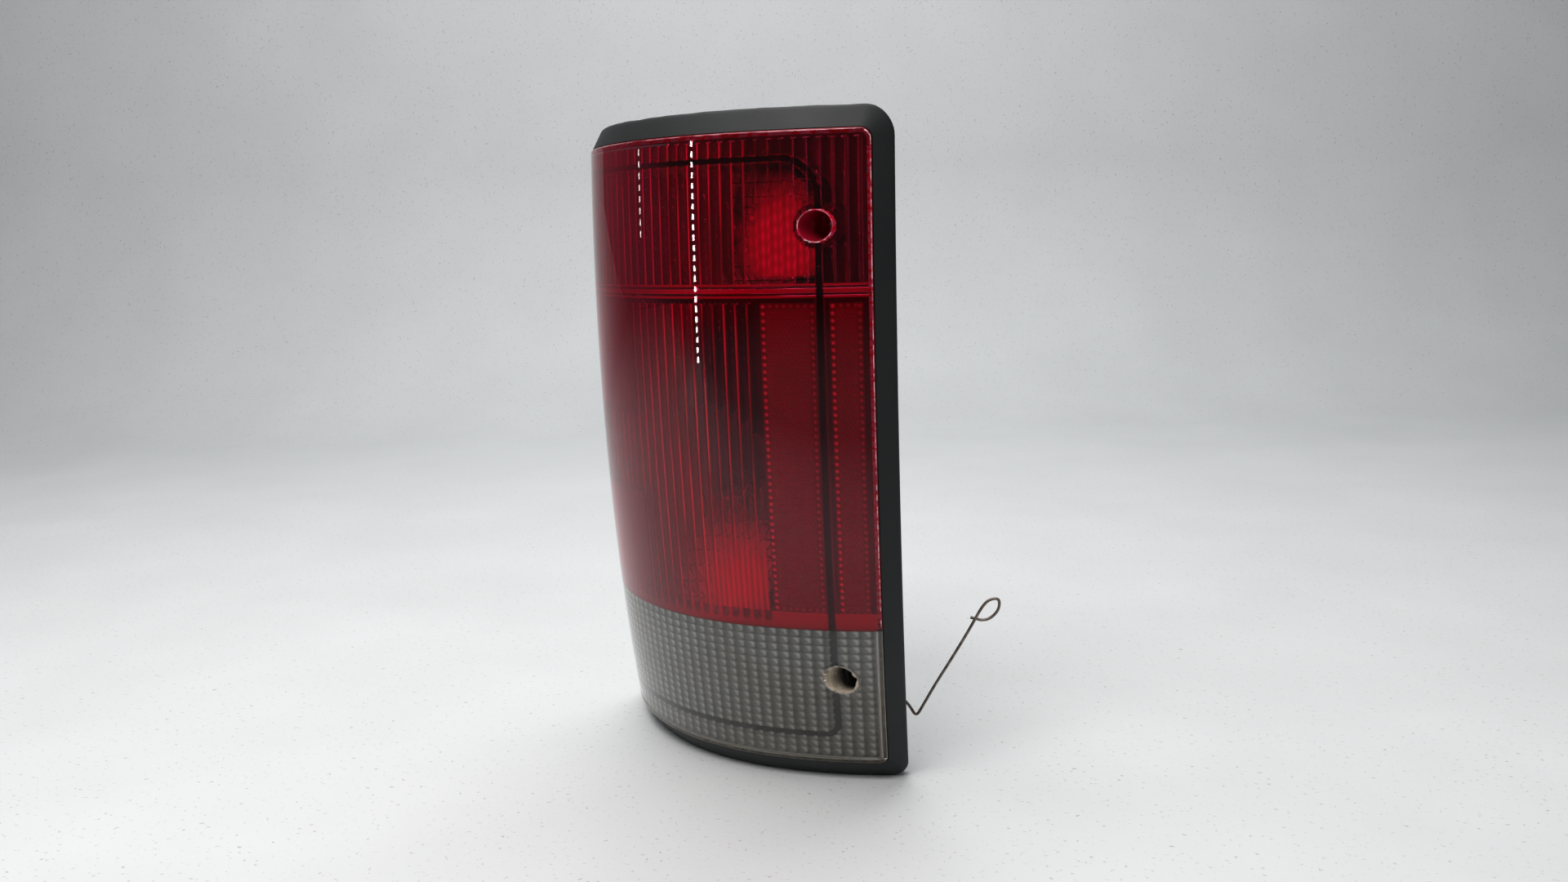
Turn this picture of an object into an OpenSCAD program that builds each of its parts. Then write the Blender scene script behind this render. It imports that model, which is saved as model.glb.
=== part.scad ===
// Wrap-around rear corner lamp: a red and clear lens on a black tub, with a rubber surround.
// +Y is the way the mounting screws are driven, +X is towards the middle of the vehicle, +Z is up.

/* [Lens] */
// Height of the whole lens
lens_height = 395; // [390:1:400]
// Height of the clear part at the bottom
clear_height = 97.5; // [96:0.5:99]
// Length of the lens round its curve, from the inner edge to the outer end
lens_length = 280; // [278:1:284]
// Thickness of the lens
lens_wall = 2.8; // [2.4:0.1:3]
// Depth of the lens's turned-back rim, from its outer face
rim_depth = 9; // [8.5:0.5:10]

/* [Curves] */
// Plan radius of the part that faces the rear
rear_radius = 240; // [236:1:244]
// Plan radius of the part that turns round the corner
corner_radius = 164; // [160:1:168]
// Length of the part that has the rear radius
rear_length = 80; // [78:1:82]
// Radius of the lens from top to bottom
side_radius = 840; // [830:1:850]
// Height at which the lens stands proudest
crown_height = 320; // [316:1:324]
// Plan heading of the inner edge, in degrees
edge_heading = -4.5; // [-5:0.1:-4]
// Angle between the screws and the vehicle's length, in degrees
screw_angle = 30; // [29:0.5:31]

/* [Housing] */
// Wall of the tub
tub_wall = 2.5; // [2.4:0.1:2.8]
// Width of the tub's front edge, where the lens is bonded
bond_width = 3.2; // [3:0.1:3.4]
// Depth of the tub's back from the inner edge of the lens
tub_depth = 38; // [36:0.5:40]
// Height of the shelf between the tail lamp and the stop lamp
shelf_height = 305; // [303:0.5:307]

/* [Fixings] */
// Diameter of a screw well in the lens
well_d = 16.8; // [16:0.1:17.2]
// Depth of a screw well
well_depth = 18; // [17:0.5:19]
// Diameter of a screw hole
screw_hole_d = 6.2; // [5.5:0.1:6.6]
// Diameter of a guide pin
guide_pin_d = 8; // [7:0.1:8.4]
// Length of a guide pin beyond its collar
guide_pin_length = 22; // [18:1:26]

/* [Sockets] */
// Diameter of the hole that a bulb socket turns in
socket_hole_d = 31; // [30.6:0.1:31.4]
// Diameter of a socket's flange
flange_d = 42; // [40:0.5:43]
// Diameter of a bulb's glass
bulb_d = 25; // [23:0.5:26]
// Length of a bulb's glass
bulb_length = 34; // [32:1:35]

/* [Surround] */
// How far the rubber surround stands out from the lens edge
surround_width = 13.5; // [12:0.5:14]
// Diameter of the steel wire
wire_d = 2; // [1.8:0.1:2]

/* [Hidden] */

$fn = 48;
curve_fn = 200;     // for the long curves of the lens
far = 600;          // longer than the whole lamp
long_cut = 150;     // long enough to cut through the lamp from front to back
short_cut = 30;     // long enough to cut through one wall
fit = 0.3;          // clearance between pieces that move past each other
skin = 0.05;        // clearance between pieces that are bonded
turn_degrees = 180 / PI;

// Plan curve: two arcs that meet at rear_length. Plan points are [x, y], with x along the
// vehicle's width and y along its length, measured from the inner edge of the lens.
corner_heading = edge_heading + rear_length / rear_radius * turn_degrees;
rear_centre = rear_radius * [sin(edge_heading), cos(edge_heading)];
corner_centre = rear_centre
    - (rear_radius - corner_radius) * [sin(corner_heading), cos(corner_heading)];

function heading(s) = s <= rear_length
    ? edge_heading + s / rear_radius * turn_degrees
    : corner_heading + (s - rear_length) / corner_radius * turn_degrees;
function arc_centre(s) = s <= rear_length ? rear_centre : corner_centre;
function arc_radius(s) = s <= rear_length ? rear_radius : corner_radius;
function plan_point(s, depth) =
    arc_centre(s) - (arc_radius(s) - depth) * [sin(heading(s)), cos(heading(s))];

// A point at length s round the lens, at height z and at a depth behind its outer face
function upright_shift(y, z) = let (r = side_radius - y) r - sqrt(r * r - pow(z - crown_height, 2));
function turned(p) = [
    p.x * cos(screw_angle) - p.y * sin(screw_angle),
    p.x * sin(screw_angle) + p.y * cos(screw_angle),
    p.z
];
function on_lens(s, z, depth) = let (p = plan_point(s, depth))
    turned([p.x, p.y + upright_shift(p.y, z), z]);

// Tub: its bonded edge runs this far round the lens, and between these heights
tub_inner_s = 29.4;
tub_outer_s = 250;
tub_bottom = 20;
tub_top = lens_height - 14;
tub_front = lens_wall + 0.6;
tub_right = on_lens(tub_inner_s, crown_height, 0).x;
tub_left = on_lens(tub_outer_s, crown_height, 0).x;
right_sweep_r = side_radius / sin(screw_angle);
left_sweep_r = (side_radius - plan_point(tub_outer_s, 0).y) / sin(screw_angle);
tub_top_corner = 24;
tub_bottom_corner = 10;

// Mounting flange behind the lens's rim
flange_front = rim_depth + 2 * skin;
flange_wall = 2.2;

// Screw wells, at their mouths on the lens face
upper_well = on_lens(32.7, 341.2, 0);
lower_well = on_lens(27.6, 62.9, 0);
well_wall = 1.8;
well_floor = 2.5;
boss_floor = 4;
well_od = well_d + 2 * well_wall;
boss_id = well_od + 2 * fit;
boss_od = boss_id + 5;
boss_front = well_depth + well_floor + fit;
boss_back = boss_front + boss_floor;

// Reflex panels stuck behind the lens: each runs from and to a length round the lens, and
// from and to a height
panel_thickness = 2;
wide_panel = [34, 67, 109, 298];
narrow_panel = [6.4, 25.5, 107, 298];
upper_side_panel = [171, 243, 229, 298];
lower_side_panel = [168, 243, 110, 178];

// Lamps: each has the x and z of its axis, the y of its seat, the bowl's widest radius
// and its focal length
bowl_hole_r = 16.2;
bowl_rise = 9;          // from the seat to the bowl's foot
bowl_wall = 1.4;
bowl_steps = 8;
bowl_gap = 0.4;         // between the bowl and the chamber's walls
bowl_setback = 4;       // of the bowl's edge behind the tub's front edge
stop_lamp = [-88, 342, 42, 50, 14];
tail_lamp = [-128, 166, 60, 66, 20];
reverse_lamp = [-128, 58, 90, 62, 16];

// Bayonet socket, measured along its axis from the seat: outwards is positive
rim_thickness = 4;
lug_thickness = 3;
lug_r = 17.8;
lug_width = 9;
unlock_turn = 45;
seat_ring = 46;
seat_height = 12;
shaft_length = 16;
seal_thickness = 1.5;
seal_gap = 0.2;
socket_flange = 3;
hub_d = 22;
grip_height = 12;
grip_size = [38, 4];
shroud_length = 26;
shroud_size = [26, 16];
shroud_wall = 1.8;
shroud_depth = 13;
slot_size = [16.4, 7.8];
blade_size = [2.8, 0.8];
blade_pitch = 6;
blade_foot = 2;
blade_recess = 4;
collar_d = 20;
collar_thickness = 3;
glass_wall = 0.8;

// Rest of the housing's back
breather_at = [-178, 45, 250];
upper_pin_at = [-216, 43, 300];
lower_pin_at = [-232, 74, 120];
pin_boss_d = 15;
pin_boss_height = 16;
pin_stud_d = 5;
pin_stud_length = 9;
pin_collar_d = 13;
pin_collar_thickness = 2;
pin_tip = 3;
breather_boss_d = 16;
breather_boss_height = 8;
breather_hole_d = 8;
breather_spigot = 6;
breather_cap_d = 14;
breather_cap_height = 5;
breather_cap_wall = 1.25;

// Wire: its stub, elbow, shaft and eye lie in one upright plane along the vehicle's width,
// apart from the end of the eye, which passes behind the shaft. Each point is
// [x across the vehicle, z, distance behind the plane].
wire_plane = 100;
wire_mouth = [0.7, 39.3, 0];
wire_stub = [9.2, 29.5, 0];
wire_bends = [
    wire_stub, [12.4, 25.8, 0], [16.4, 18.6, 0], [21.4, 27.6, 0], [29.9, 42.8, 0], [40.8, 60.5, 0],
    [52, 79.8, 0], [60, 95, 0], [65, 99.6, 0.6], [71.4, 99.8, 1.4], [70.6, 91, 2.2], [62.5, 84, 2.6],
    [52.3, 86.5, 2.6]
];
wire_seat = 15;
wire_boss_d = 8;
wire_sides = 8;

// The row's origin: the middle of the footprint, at the surround's lower edge
footprint_middle = [-139.8, 42.58];
floor_height = -surround_width;

module placed() {
    translate([-footprint_middle.x, -footprint_middle.y, -floor_height]) children();
}

// Turns a plan outline into the solid that it sweeps along the lens's upright curve
module upright_sweep() {
    rotate([0, 0, screw_angle])
        multmatrix([[0, 0, 1, 0], [-1, 0, 0, side_radius], [0, -1, 0, crown_height], [0, 0, 0, 1]])
            rotate([0, 0, -8])
                rotate_extrude(angle = 38, $fn = curve_fn)
                    translate([side_radius, 0]) rotate(90) children();
}

// Plan half-planes on either side of the line across the lens at length s
module inward_of(s) {
    translate(arc_centre(s)) rotate(-heading(s)) translate([0, -far]) square([far, 2 * far]);
}

module outward_of(s) {
    translate(arc_centre(s)) rotate(-heading(s)) translate([-far, -far]) square([far, 2 * far]);
}

// Plan area that lies deeper than depth behind the lens face. The corner's circle lies inside
// the rear one and touches it at rear_length, so it needs no cut of its own.
module behind(depth) {
    intersection() {
        translate(rear_centre) circle(r = rear_radius - depth, $fn = curve_fn);
        inward_of(rear_length);
    }
    translate(corner_centre) circle(r = corner_radius - depth, $fn = curve_fn);
}

module plan_band(near, deep, outer_s) {
    intersection() {
        difference() {
            behind(near);
            behind(deep);
        }
        inward_of(outer_s);
    }
}

// What a rounded outer corner loses, in the first quadrant
module corner_waste(r) {
    difference() {
        square(r + 2);
        circle(r);
    }
}

// Front view of the lens, shrunk by inset, extruded through the whole lamp
module lens_outline(inset, low, high) {
    top = lens_height - inset;
    top_r = 7 - inset;
    bottom_r = 6 - inset;
    rotate([0, 0, screw_angle]) rotate([90, 0, 0]) linear_extrude(2 * far, center = true)
        intersection() {
            difference() {
                translate([-far, inset]) square([far - inset, top - inset]);
                translate([-inset - top_r, top - top_r]) corner_waste(top_r);
                translate([-inset - bottom_r, inset + bottom_r]) mirror([0, 1]) corner_waste(bottom_r);
            }
            translate([-far, low]) square([far, high - low]);
        }
}

module along_screw(at, from, to, d) {
    translate([at.x, at.y + from, at.z]) rotate([-90, 0, 0]) cylinder(d = d, h = to - from);
}

module screw_wells() {
    for (well = [upper_well, lower_well]) {
        intersection() {
            along_screw(well, -well_depth, well_depth + well_floor, well_od);
            upright_sweep() behind(lens_wall / 2);
        }
    }
}

module screw_well_holes() {
    for (well = [upper_well, lower_well]) {
        along_screw(well, -well_depth, well_depth, well_d);
        along_screw(well, 0, short_cut, screw_hole_d);
    }
}

module lens(low, high) {
    difference() {
        union() {
            difference() {
                intersection() {
                    upright_sweep() plan_band(0, rim_depth, lens_length);
                    lens_outline(0, low, high);
                }
                intersection() {
                    upright_sweep() plan_band(lens_wall, rim_depth + 1, lens_length - lens_wall);
                    lens_outline(lens_wall, low - 1, high + 1);
                }
            }
            intersection() {
                screw_wells();
                lens_outline(0, low, high);
            }
        }
        screw_well_holes();
    }
}

module lens_red() {
    color([0.62, 0.03, 0.05]) placed() lens(clear_height, lens_height);
}

module lens_clear() {
    color([0.75, 0.74, 0.7, 0.6]) placed() lens(0, clear_height);
}

module reflex_panel(panel) {
    intersection() {
        upright_sweep()
            intersection() {
                plan_band(lens_wall + skin, lens_wall + panel_thickness, panel[1]);
                outward_of(panel[0]);
            }
        lens_outline(lens_wall, panel[2], panel[3]);
    }
}

module reflex_rear_wide() {
    color([0.45, 0.02, 0.04]) placed() reflex_panel(wide_panel);
}

module reflex_rear_narrow() {
    color([0.45, 0.02, 0.04]) placed() reflex_panel(narrow_panel);
}

module reflex_side_upper() {
    color([0.4, 0.02, 0.04]) placed() reflex_panel(upper_side_panel);
}

module reflex_side_lower() {
    color([0.4, 0.02, 0.04]) placed() reflex_panel(lower_side_panel);
}

// Right-hand edge of the tub's front view, which leans in as the lens falls back
function tub_edge(z) =
    tub_right - right_sweep_r + sqrt(pow(right_sweep_r, 2) - pow(z - crown_height, 2));

// Front view of the tub, shrunk by inset, seen along the screws
module tub_outline(inset, low, high) {
    top = tub_top - inset;
    bottom = tub_bottom + inset;
    top_r = tub_top_corner - inset;
    bottom_r = tub_bottom_corner - inset;
    rotate([90, 0, 0]) linear_extrude(2 * far, center = true)
        difference() {
            intersection() {
                translate([tub_right - inset - right_sweep_r, crown_height])
                    circle(r = right_sweep_r, $fn = curve_fn);
                translate([-far, max(low, bottom)]) square([far, min(high, top) - max(low, bottom)]);
            }
            translate([tub_left + inset - left_sweep_r, crown_height])
                circle(r = left_sweep_r, $fn = curve_fn);
            translate([tub_edge(top - top_r) - inset - top_r, top - top_r]) corner_waste(top_r);
            translate([tub_edge(bottom + bottom_r) - inset - bottom_r, bottom + bottom_r])
                mirror([0, 1]) corner_waste(bottom_r);
        }
}

module tub_plan(front, back) {
    intersection() {
        behind(front);
        rotate(-screw_angle) translate([-far, back - far]) square([2 * far, far]);
    }
}

// The hollow between two heights, shrunk by gap on every side
module chamber(low, high, gap, front) {
    intersection() {
        tub_outline(bond_width + gap, low + gap, high - gap);
        upright_sweep() tub_plan(front, tub_depth - tub_wall - gap);
    }
}

module socket_holes(lamp) {
    at = [lamp[0], lamp[2], lamp[1]];
    along_screw(at, -short_cut, 1, socket_hole_d);
    along_screw(at, -short_cut, -rim_thickness, 2 * lug_r + 3);
    for (k = [0:2])
        translate(at) rotate([0, k * 120 + unlock_turn, 0])
            translate([-(lug_width + 1) / 2, -short_cut, 0])
                cube([lug_width + 1, short_cut + 1, lug_r + 2 * fit]);
}

module housing() {
    color([0.09, 0.09, 0.1]) placed() difference() {
        union() {
            intersection() {
                tub_outline(0, tub_bottom, tub_top);
                upright_sweep() tub_plan(tub_front, tub_depth);
            }
            intersection() {
                upright_sweep() plan_band(flange_front, flange_front + flange_wall, lens_length);
                lens_outline(0, 0, lens_height);
            }
            for (well = [upper_well, lower_well])
                intersection() {
                    along_screw(well, 0, boss_back, boss_od);
                    upright_sweep() behind(tub_front);
                }
            for (lamp = [stop_lamp, tail_lamp, reverse_lamp])
                along_screw([lamp[0], lamp[2], lamp[1]], -seat_height, 0, seat_ring);
            for (at = [upper_pin_at, lower_pin_at])
                along_screw(at, -pin_boss_height, 0, pin_boss_d);
            along_screw(breather_at, -breather_boss_height, 0, breather_boss_d);
            wire_boss();
        }
        difference() {
            union() {
                chamber(tub_bottom, clear_height - tub_wall / 2, 0, 0);
                chamber(clear_height + tub_wall / 2, shelf_height - tub_wall / 2, 0, 0);
                chamber(shelf_height + tub_wall / 2, tub_top, 0, 0);
            }
            for (well = [upper_well, lower_well])
                along_screw(well, 0, long_cut, boss_od);
        }
        for (well = [upper_well, lower_well]) {
            along_screw(well, -short_cut, boss_front, boss_id);
            along_screw(well, 0, boss_back + 1, screw_hole_d);
            along_screw(well, boss_back, long_cut, boss_id);
        }
        for (lamp = [stop_lamp, tail_lamp, reverse_lamp])
            socket_holes(lamp);
        for (at = [upper_pin_at, lower_pin_at])
            along_screw(at, -pin_stud_length - 1, 1, pin_stud_d + 2 * skin);
        along_screw(breather_at, -short_cut, 1, breather_hole_d);
        wire_bore();
    }
}

// Bead of sealant between the lens and the tub's front edge
module lens_bond() {
    color([0.05, 0.05, 0.05]) placed() difference() {
        intersection() {
            tub_outline(0, tub_bottom, tub_top);
            upright_sweep() plan_band(lens_wall + skin, tub_front - skin, lens_length);
        }
        tub_outline(bond_width, 0, lens_height);
        for (well = [upper_well, lower_well])
            along_screw(well, -short_cut, short_cut, boss_id);
    }
}

// Bowl round a bulb: y falls with the square of the radius, as on any parabolic mirror
module bowl(lamp) {
    span = lamp[3] - bowl_hole_r;
    radii = [for (k = [0:bowl_steps]) bowl_hole_r + span * k / bowl_steps];
    function bowl_y(r) = -bowl_rise - (r * r - bowl_hole_r * bowl_hole_r) / (4 * lamp[4]);
    front_face = [for (r = radii) [r, bowl_y(r)]];
    back_face = [for (k = [bowl_steps:-1:0]) [radii[k], bowl_y(radii[k]) + bowl_wall]];
    translate([lamp[0], lamp[2], lamp[1]]) rotate([-90, 0, 0])
        rotate_extrude($fn = 96) polygon(concat(front_face, back_face));
}

module reflector(lamp, low, high) {
    color([0.85, 0.86, 0.88]) placed() difference() {
        intersection() {
            bowl(lamp);
            chamber(low, high, bowl_gap, tub_front + bowl_setback);
        }
        for (well = [upper_well, lower_well])
            along_screw(well, 0, long_cut, boss_od + 2 * fit);
    }
}

module stop_reflector() {
    reflector(stop_lamp, shelf_height + tub_wall / 2, tub_top);
}

module tail_reflector() {
    reflector(tail_lamp, clear_height + tub_wall / 2, shelf_height - tub_wall / 2);
}

module reverse_reflector() {
    reflector(reverse_lamp, tub_bottom, clear_height - tub_wall / 2);
}

// Surround: one rubber ring, swept round the lens edge. Its section is a list of
// [distance out from the lens edge, depth behind the lens face].
surround_depth = 18;
surround_lip = 3;
lip_front = flange_front + flange_wall + 0.5;
surround_section = [
    [0.5, 1.2], [surround_width - 1, 7.2], [surround_width, 8.4], [surround_width, surround_depth],
    [-surround_lip, surround_depth], [-surround_lip, lip_front], [1.4, lip_front]
];
edge_radii = [7, 6, 1, 1];          // lens corners: inner top, inner bottom, outer bottom, outer top
rim_radii = [18, 11, 11, 18];       // the surround's own corners, in the same order
corner_steps = 6;
side_steps = 20;

// Round the loop [s, z] from the inner top corner downwards, for a frame out from the lens edge
function frame_corner(k, out, r) = let (
    s = k < 2 ? r - out : lens_length + out - r,
    z = k == 0 || k == 3 ? lens_height + out - r : r - out
) [s, z];
function frame_loop(out, radii) = [
    for (k = [0:3]) each concat(
        [for (j = [0:corner_steps]) let (a = 90 - 90 * k - 90 * j / corner_steps, r = radii[k])
            frame_corner(k, out, r) + r * [-cos(a), sin(a)]],
        let (
            a = frame_corner(k, out, radii[k]) + radii[k] * [-cos(-90 * k), sin(-90 * k)],
            n = (k + 1) % 4,
            b = frame_corner(n, out, radii[n]) + radii[n] * [-cos(-90 * k), sin(-90 * k)]
        ) [for (j = [1:side_steps - 1]) a + (b - a) * j / side_steps]
    )
];
function surround_point(edge, rim, section) =
    let (p = edge + (rim - edge) * section[0] / surround_width) on_lens(p.x, p.y, section[1]);

module surround() {
    edge_loop = frame_loop(0, edge_radii);
    rim_loop = frame_loop(surround_width, rim_radii);
    stations = len(edge_loop);
    corners = len(surround_section);
    points = [for (k = [0:stations - 1]) each
        [for (section = surround_section) surround_point(edge_loop[k], rim_loop[k], section)]];
    faces = [for (k = [0:stations - 1]) each [for (j = [0:corners - 1]) each
        let (
            here = k * corners,
            next = ((k + 1) % stations) * corners,
            side = (j + 1) % corners
        ) [[here + j, here + side, next + side], [here + j, next + side, next + j]]]];
    color([0.13, 0.14, 0.15]) placed() polyhedron(points, faces, convexity = 8);
}

module breather_cap() {
    color([0.2, 0.2, 0.2]) placed() {
        difference() {
            along_screw(breather_at, 0, breather_cap_height, breather_cap_d);
            along_screw(breather_at, -1, breather_cap_height / 2, breather_cap_d - 2 * breather_cap_wall);
        }
        along_screw(breather_at, -breather_spigot, breather_cap_height - 2, breather_hole_d - 2 * skin);
    }
}

module guide_pins() {
    color([0.7, 0.7, 0.72]) placed() for (at = [upper_pin_at, lower_pin_at]) {
        pin_end = pin_collar_thickness + guide_pin_length;
        along_screw(at, -pin_stud_length, 1, pin_stud_d);
        along_screw(at, 0, pin_collar_thickness, pin_collar_d);
        along_screw(at, 1, pin_end, guide_pin_d);
        translate([at.x, at.y + pin_end, at.z]) rotate([-90, 0, 0])
            cylinder(d1 = guide_pin_d, d2 = guide_pin_d - pin_tip, h = pin_tip);
    }
}

function wire_point(p) = turned([p[0], wire_plane + p[2], p[1]]);
wire_axis = (wire_point(wire_stub) - wire_point(wire_mouth)) / norm(wire_stub - wire_mouth);

// Rounds a path by cutting its corners, times over
function smooth(path, times) = times == 0 ? path : smooth(concat(
    [path[0]],
    [for (k = [0:len(path) - 2]) each
        [0.75 * path[k] + 0.25 * path[k + 1], 0.25 * path[k] + 0.75 * path[k + 1]]],
    [path[len(path) - 1]]
), times - 1);

// Ring of points round a path, square to it
function ring(path, k, r) = let (
    last = len(path) - 1,
    run = path[min(k + 1, last)] - path[max(k - 1, 0)],
    side = cross(run, turned([0, 1, 0])),
    across = side / norm(side),
    up = cross(across, run) / norm(run)
) [for (j = [0:wire_sides - 1]) let (a = 360 * j / wire_sides)
    path[k] + r * (cos(a) * across + sin(a) * up)];

module bent_wire(path, r) {
    last = len(path) - 1;
    points = [for (k = [0:last]) each ring(path, k, r)];
    sides = [for (k = [0:last - 1]) each [for (j = [0:wire_sides - 1]) each
        let (
            here = k * wire_sides,
            next = here + wire_sides,
            side = (j + 1) % wire_sides
        ) [[here + j, here + side, next + side], [here + j, next + side, next + j]]]];
    ends = [
        [for (j = [wire_sides - 1:-1:0]) j],
        [for (j = [0:wire_sides - 1]) last * wire_sides + j]
    ];
    polyhedron(points, concat(sides, ends), convexity = 6);
}

module rod(from, to, d) {
    run = to - from;
    translate(from) rotate([0, acos(run.z / norm(run)), atan2(run.y, run.x)])
        cylinder(d = d, h = norm(run), $fn = 24);
}

module wire_boss() {
    mouth = wire_point(wire_mouth);
    rod(mouth - (wire_seat + 2) * wire_axis, mouth, wire_boss_d);
}

module wire_bore() {
    mouth = wire_point(wire_mouth);
    rod(mouth - wire_seat * wire_axis, mouth + wire_axis, wire_d + 2 * skin);
}

// The stub turns in its boss
module wire_hook() {
    color([0.45, 0.4, 0.36]) placed() {
        rod(wire_point(wire_mouth) - (wire_seat - fit) * wire_axis, wire_point(wire_stub), wire_d);
        bent_wire([for (p = smooth(wire_bends, 2)) wire_point(p)], wire_d / 2 - skin);
    }
}

module at_lamp(lamp) {
    placed() translate([lamp[0], lamp[2], lamp[1]]) children();
}

module disc(from, to, d) {
    translate([0, from, 0]) rotate([-90, 0, 0]) cylinder(d = d, h = to - from);
}

module bar(width, height, from, to) {
    translate([-width / 2, from, -height / 2]) cube([width, to - from, height]);
}

module socket(lamp) {
    flange_face = seal_gap + seal_thickness;
    flange_top = flange_face + socket_flange;
    color([0.24, 0.24, 0.25]) at_lamp(lamp) difference() {
        union() {
            disc(-shaft_length, flange_top, socket_hole_d - 2 * fit);
            disc(flange_face, flange_top, flange_d);
            for (k = [0:2])
                rotate([0, k * 120, 0]) intersection() {
                    disc(-rim_thickness - fit - lug_thickness, -rim_thickness - fit, 2 * lug_r);
                    translate([-lug_width / 2, -shaft_length, 0]) cube([lug_width, shaft_length, lug_r]);
                }
            disc(flange_face, grip_height, hub_d);
            bar(grip_size.x, grip_size.y, flange_top - 1, grip_height);
            bar(shroud_size.x, shroud_size.y, grip_height - 1, shroud_length);
        }
        bar(slot_size.x, slot_size.y, -shaft_length - 1, -1);
        bar(shroud_size.x - 2 * shroud_wall, shroud_size.y - 2 * shroud_wall,
            shroud_length - shroud_depth, shroud_length + 1);
        contact_blades(skin);
    }
}

module contact_blades(grow) {
    for (k = [-1:1])
        translate([k * blade_pitch, 0, 0])
            bar(blade_size.x + 2 * grow, blade_size.y + 2 * grow,
                blade_foot - grow, shroud_length - blade_recess + grow);
}

module contacts(lamp) {
    color([0.75, 0.6, 0.3]) at_lamp(lamp) contact_blades(0);
}

module socket_seal(lamp) {
    color([0.15, 0.15, 0.15]) at_lamp(lamp) difference() {
        disc(seal_gap, seal_gap + seal_thickness, flange_d - 1);
        disc(-1, 5, socket_hole_d - 2 * fit + 2 * skin);
    }
}

bulb_seat = -shaft_length - fit;
glass_foot = bulb_seat - collar_thickness;

module bulb_base(lamp) {
    color([0.82, 0.82, 0.78]) at_lamp(lamp) {
        disc(glass_foot, bulb_seat, collar_d);
        bar(slot_size.x - 2 * fit, slot_size.y - 2 * fit, bulb_seat - 1, -2);
    }
}

// Straight glass with a round end and a narrower neck
module glass_form(shrink) {
    r = bulb_d / 2 - shrink;
    neck_r = collar_d / 2 - 1 - shrink;
    shoulder = 8;
    dome = bulb_length - bulb_d / 2;
    rotate([90, 0, 0]) {
        cylinder(r1 = neck_r, r2 = r, h = shoulder);
        translate([0, 0, shoulder]) cylinder(r = r, h = dome - shoulder);
        translate([0, 0, dome]) sphere(r);
    }
}

module bulb_glass(lamp) {
    color([0.9, 0.92, 0.95, 0.35]) at_lamp(lamp) translate([0, glass_foot, 0]) difference() {
        glass_form(0);
        translate([0, -glass_wall, 0]) glass_form(glass_wall);
        disc(-glass_wall - 1, -glass_wall + 1, 4);
    }
}

// Two coils, each on a pair of stems that stand in a glass bead
filament_height = 17;
coil_apart = 3;
stem_apart = 4;
coil_d = 1.2;
stem_d = 0.7;
bead_d = 9;
bead_length = 5;

module filament(lamp) {
    coil_y = glass_foot - filament_height;
    coil_end = stem_apart + stem_d / 2 + skin;
    color([0.6, 0.6, 0.62]) at_lamp(lamp) {
        for (z = [-coil_apart, coil_apart]) {
            for (x = [-stem_apart, stem_apart])
                translate([x, 0, z]) disc(coil_y - fit, glass_foot - glass_wall - 0.5, stem_d);
            translate([-coil_end, coil_y, z]) rotate([0, 90, 0]) cylinder(d = coil_d, h = 2 * coil_end);
        }
        disc(glass_foot - bead_length, glass_foot - glass_wall - 0.2, bead_d);
    }
}

module stop_socket() { socket(stop_lamp); }
module stop_socket_seal() { socket_seal(stop_lamp); }
module stop_contacts() { contacts(stop_lamp); }
module stop_bulb_glass() { bulb_glass(stop_lamp); }
module stop_bulb_base() { bulb_base(stop_lamp); }
module stop_filament() { filament(stop_lamp); }
module tail_socket() { socket(tail_lamp); }
module tail_socket_seal() { socket_seal(tail_lamp); }
module tail_contacts() { contacts(tail_lamp); }
module tail_bulb_glass() { bulb_glass(tail_lamp); }
module tail_bulb_base() { bulb_base(tail_lamp); }
module tail_filament() { filament(tail_lamp); }
module reverse_socket() { socket(reverse_lamp); }
module reverse_socket_seal() { socket_seal(reverse_lamp); }
module reverse_contacts() { contacts(reverse_lamp); }
module reverse_bulb_glass() { bulb_glass(reverse_lamp); }
module reverse_bulb_base() { bulb_base(reverse_lamp); }
module reverse_filament() { filament(reverse_lamp); }

lens_red();
lens_clear();
reflex_rear_wide();
reflex_rear_narrow();
reflex_side_upper();
reflex_side_lower();
housing();
lens_bond();
stop_reflector();
tail_reflector();
reverse_reflector();
surround();
breather_cap();
guide_pins();
wire_hook();
stop_socket();
stop_socket_seal();
stop_contacts();
stop_bulb_glass();
stop_bulb_base();
stop_filament();
tail_socket();
tail_socket_seal();
tail_contacts();
tail_bulb_glass();
tail_bulb_base();
tail_filament();
reverse_socket();
reverse_socket_seal();
reverse_contacts();
reverse_bulb_glass();
reverse_bulb_base();
reverse_filament();
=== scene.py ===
"""Wrap-around rear corner lamp: its looks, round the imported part. Metres, in the row frame."""

import math

import bmesh
import bpy
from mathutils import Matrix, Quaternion, Vector, noise


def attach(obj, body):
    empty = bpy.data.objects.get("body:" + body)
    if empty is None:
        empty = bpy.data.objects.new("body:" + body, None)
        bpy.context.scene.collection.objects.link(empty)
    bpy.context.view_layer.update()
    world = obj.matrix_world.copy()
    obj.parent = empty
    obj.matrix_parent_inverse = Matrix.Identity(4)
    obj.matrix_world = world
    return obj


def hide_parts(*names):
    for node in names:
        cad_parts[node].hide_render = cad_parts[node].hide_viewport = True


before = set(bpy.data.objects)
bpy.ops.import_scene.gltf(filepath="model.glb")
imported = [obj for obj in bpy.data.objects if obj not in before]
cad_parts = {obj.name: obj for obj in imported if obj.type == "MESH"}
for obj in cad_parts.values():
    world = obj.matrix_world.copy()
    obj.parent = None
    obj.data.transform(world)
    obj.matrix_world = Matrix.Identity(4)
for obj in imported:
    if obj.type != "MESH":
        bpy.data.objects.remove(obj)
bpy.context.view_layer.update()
MM = 0.001
LAMPS = ("stop", "tail", "reverse")

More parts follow.
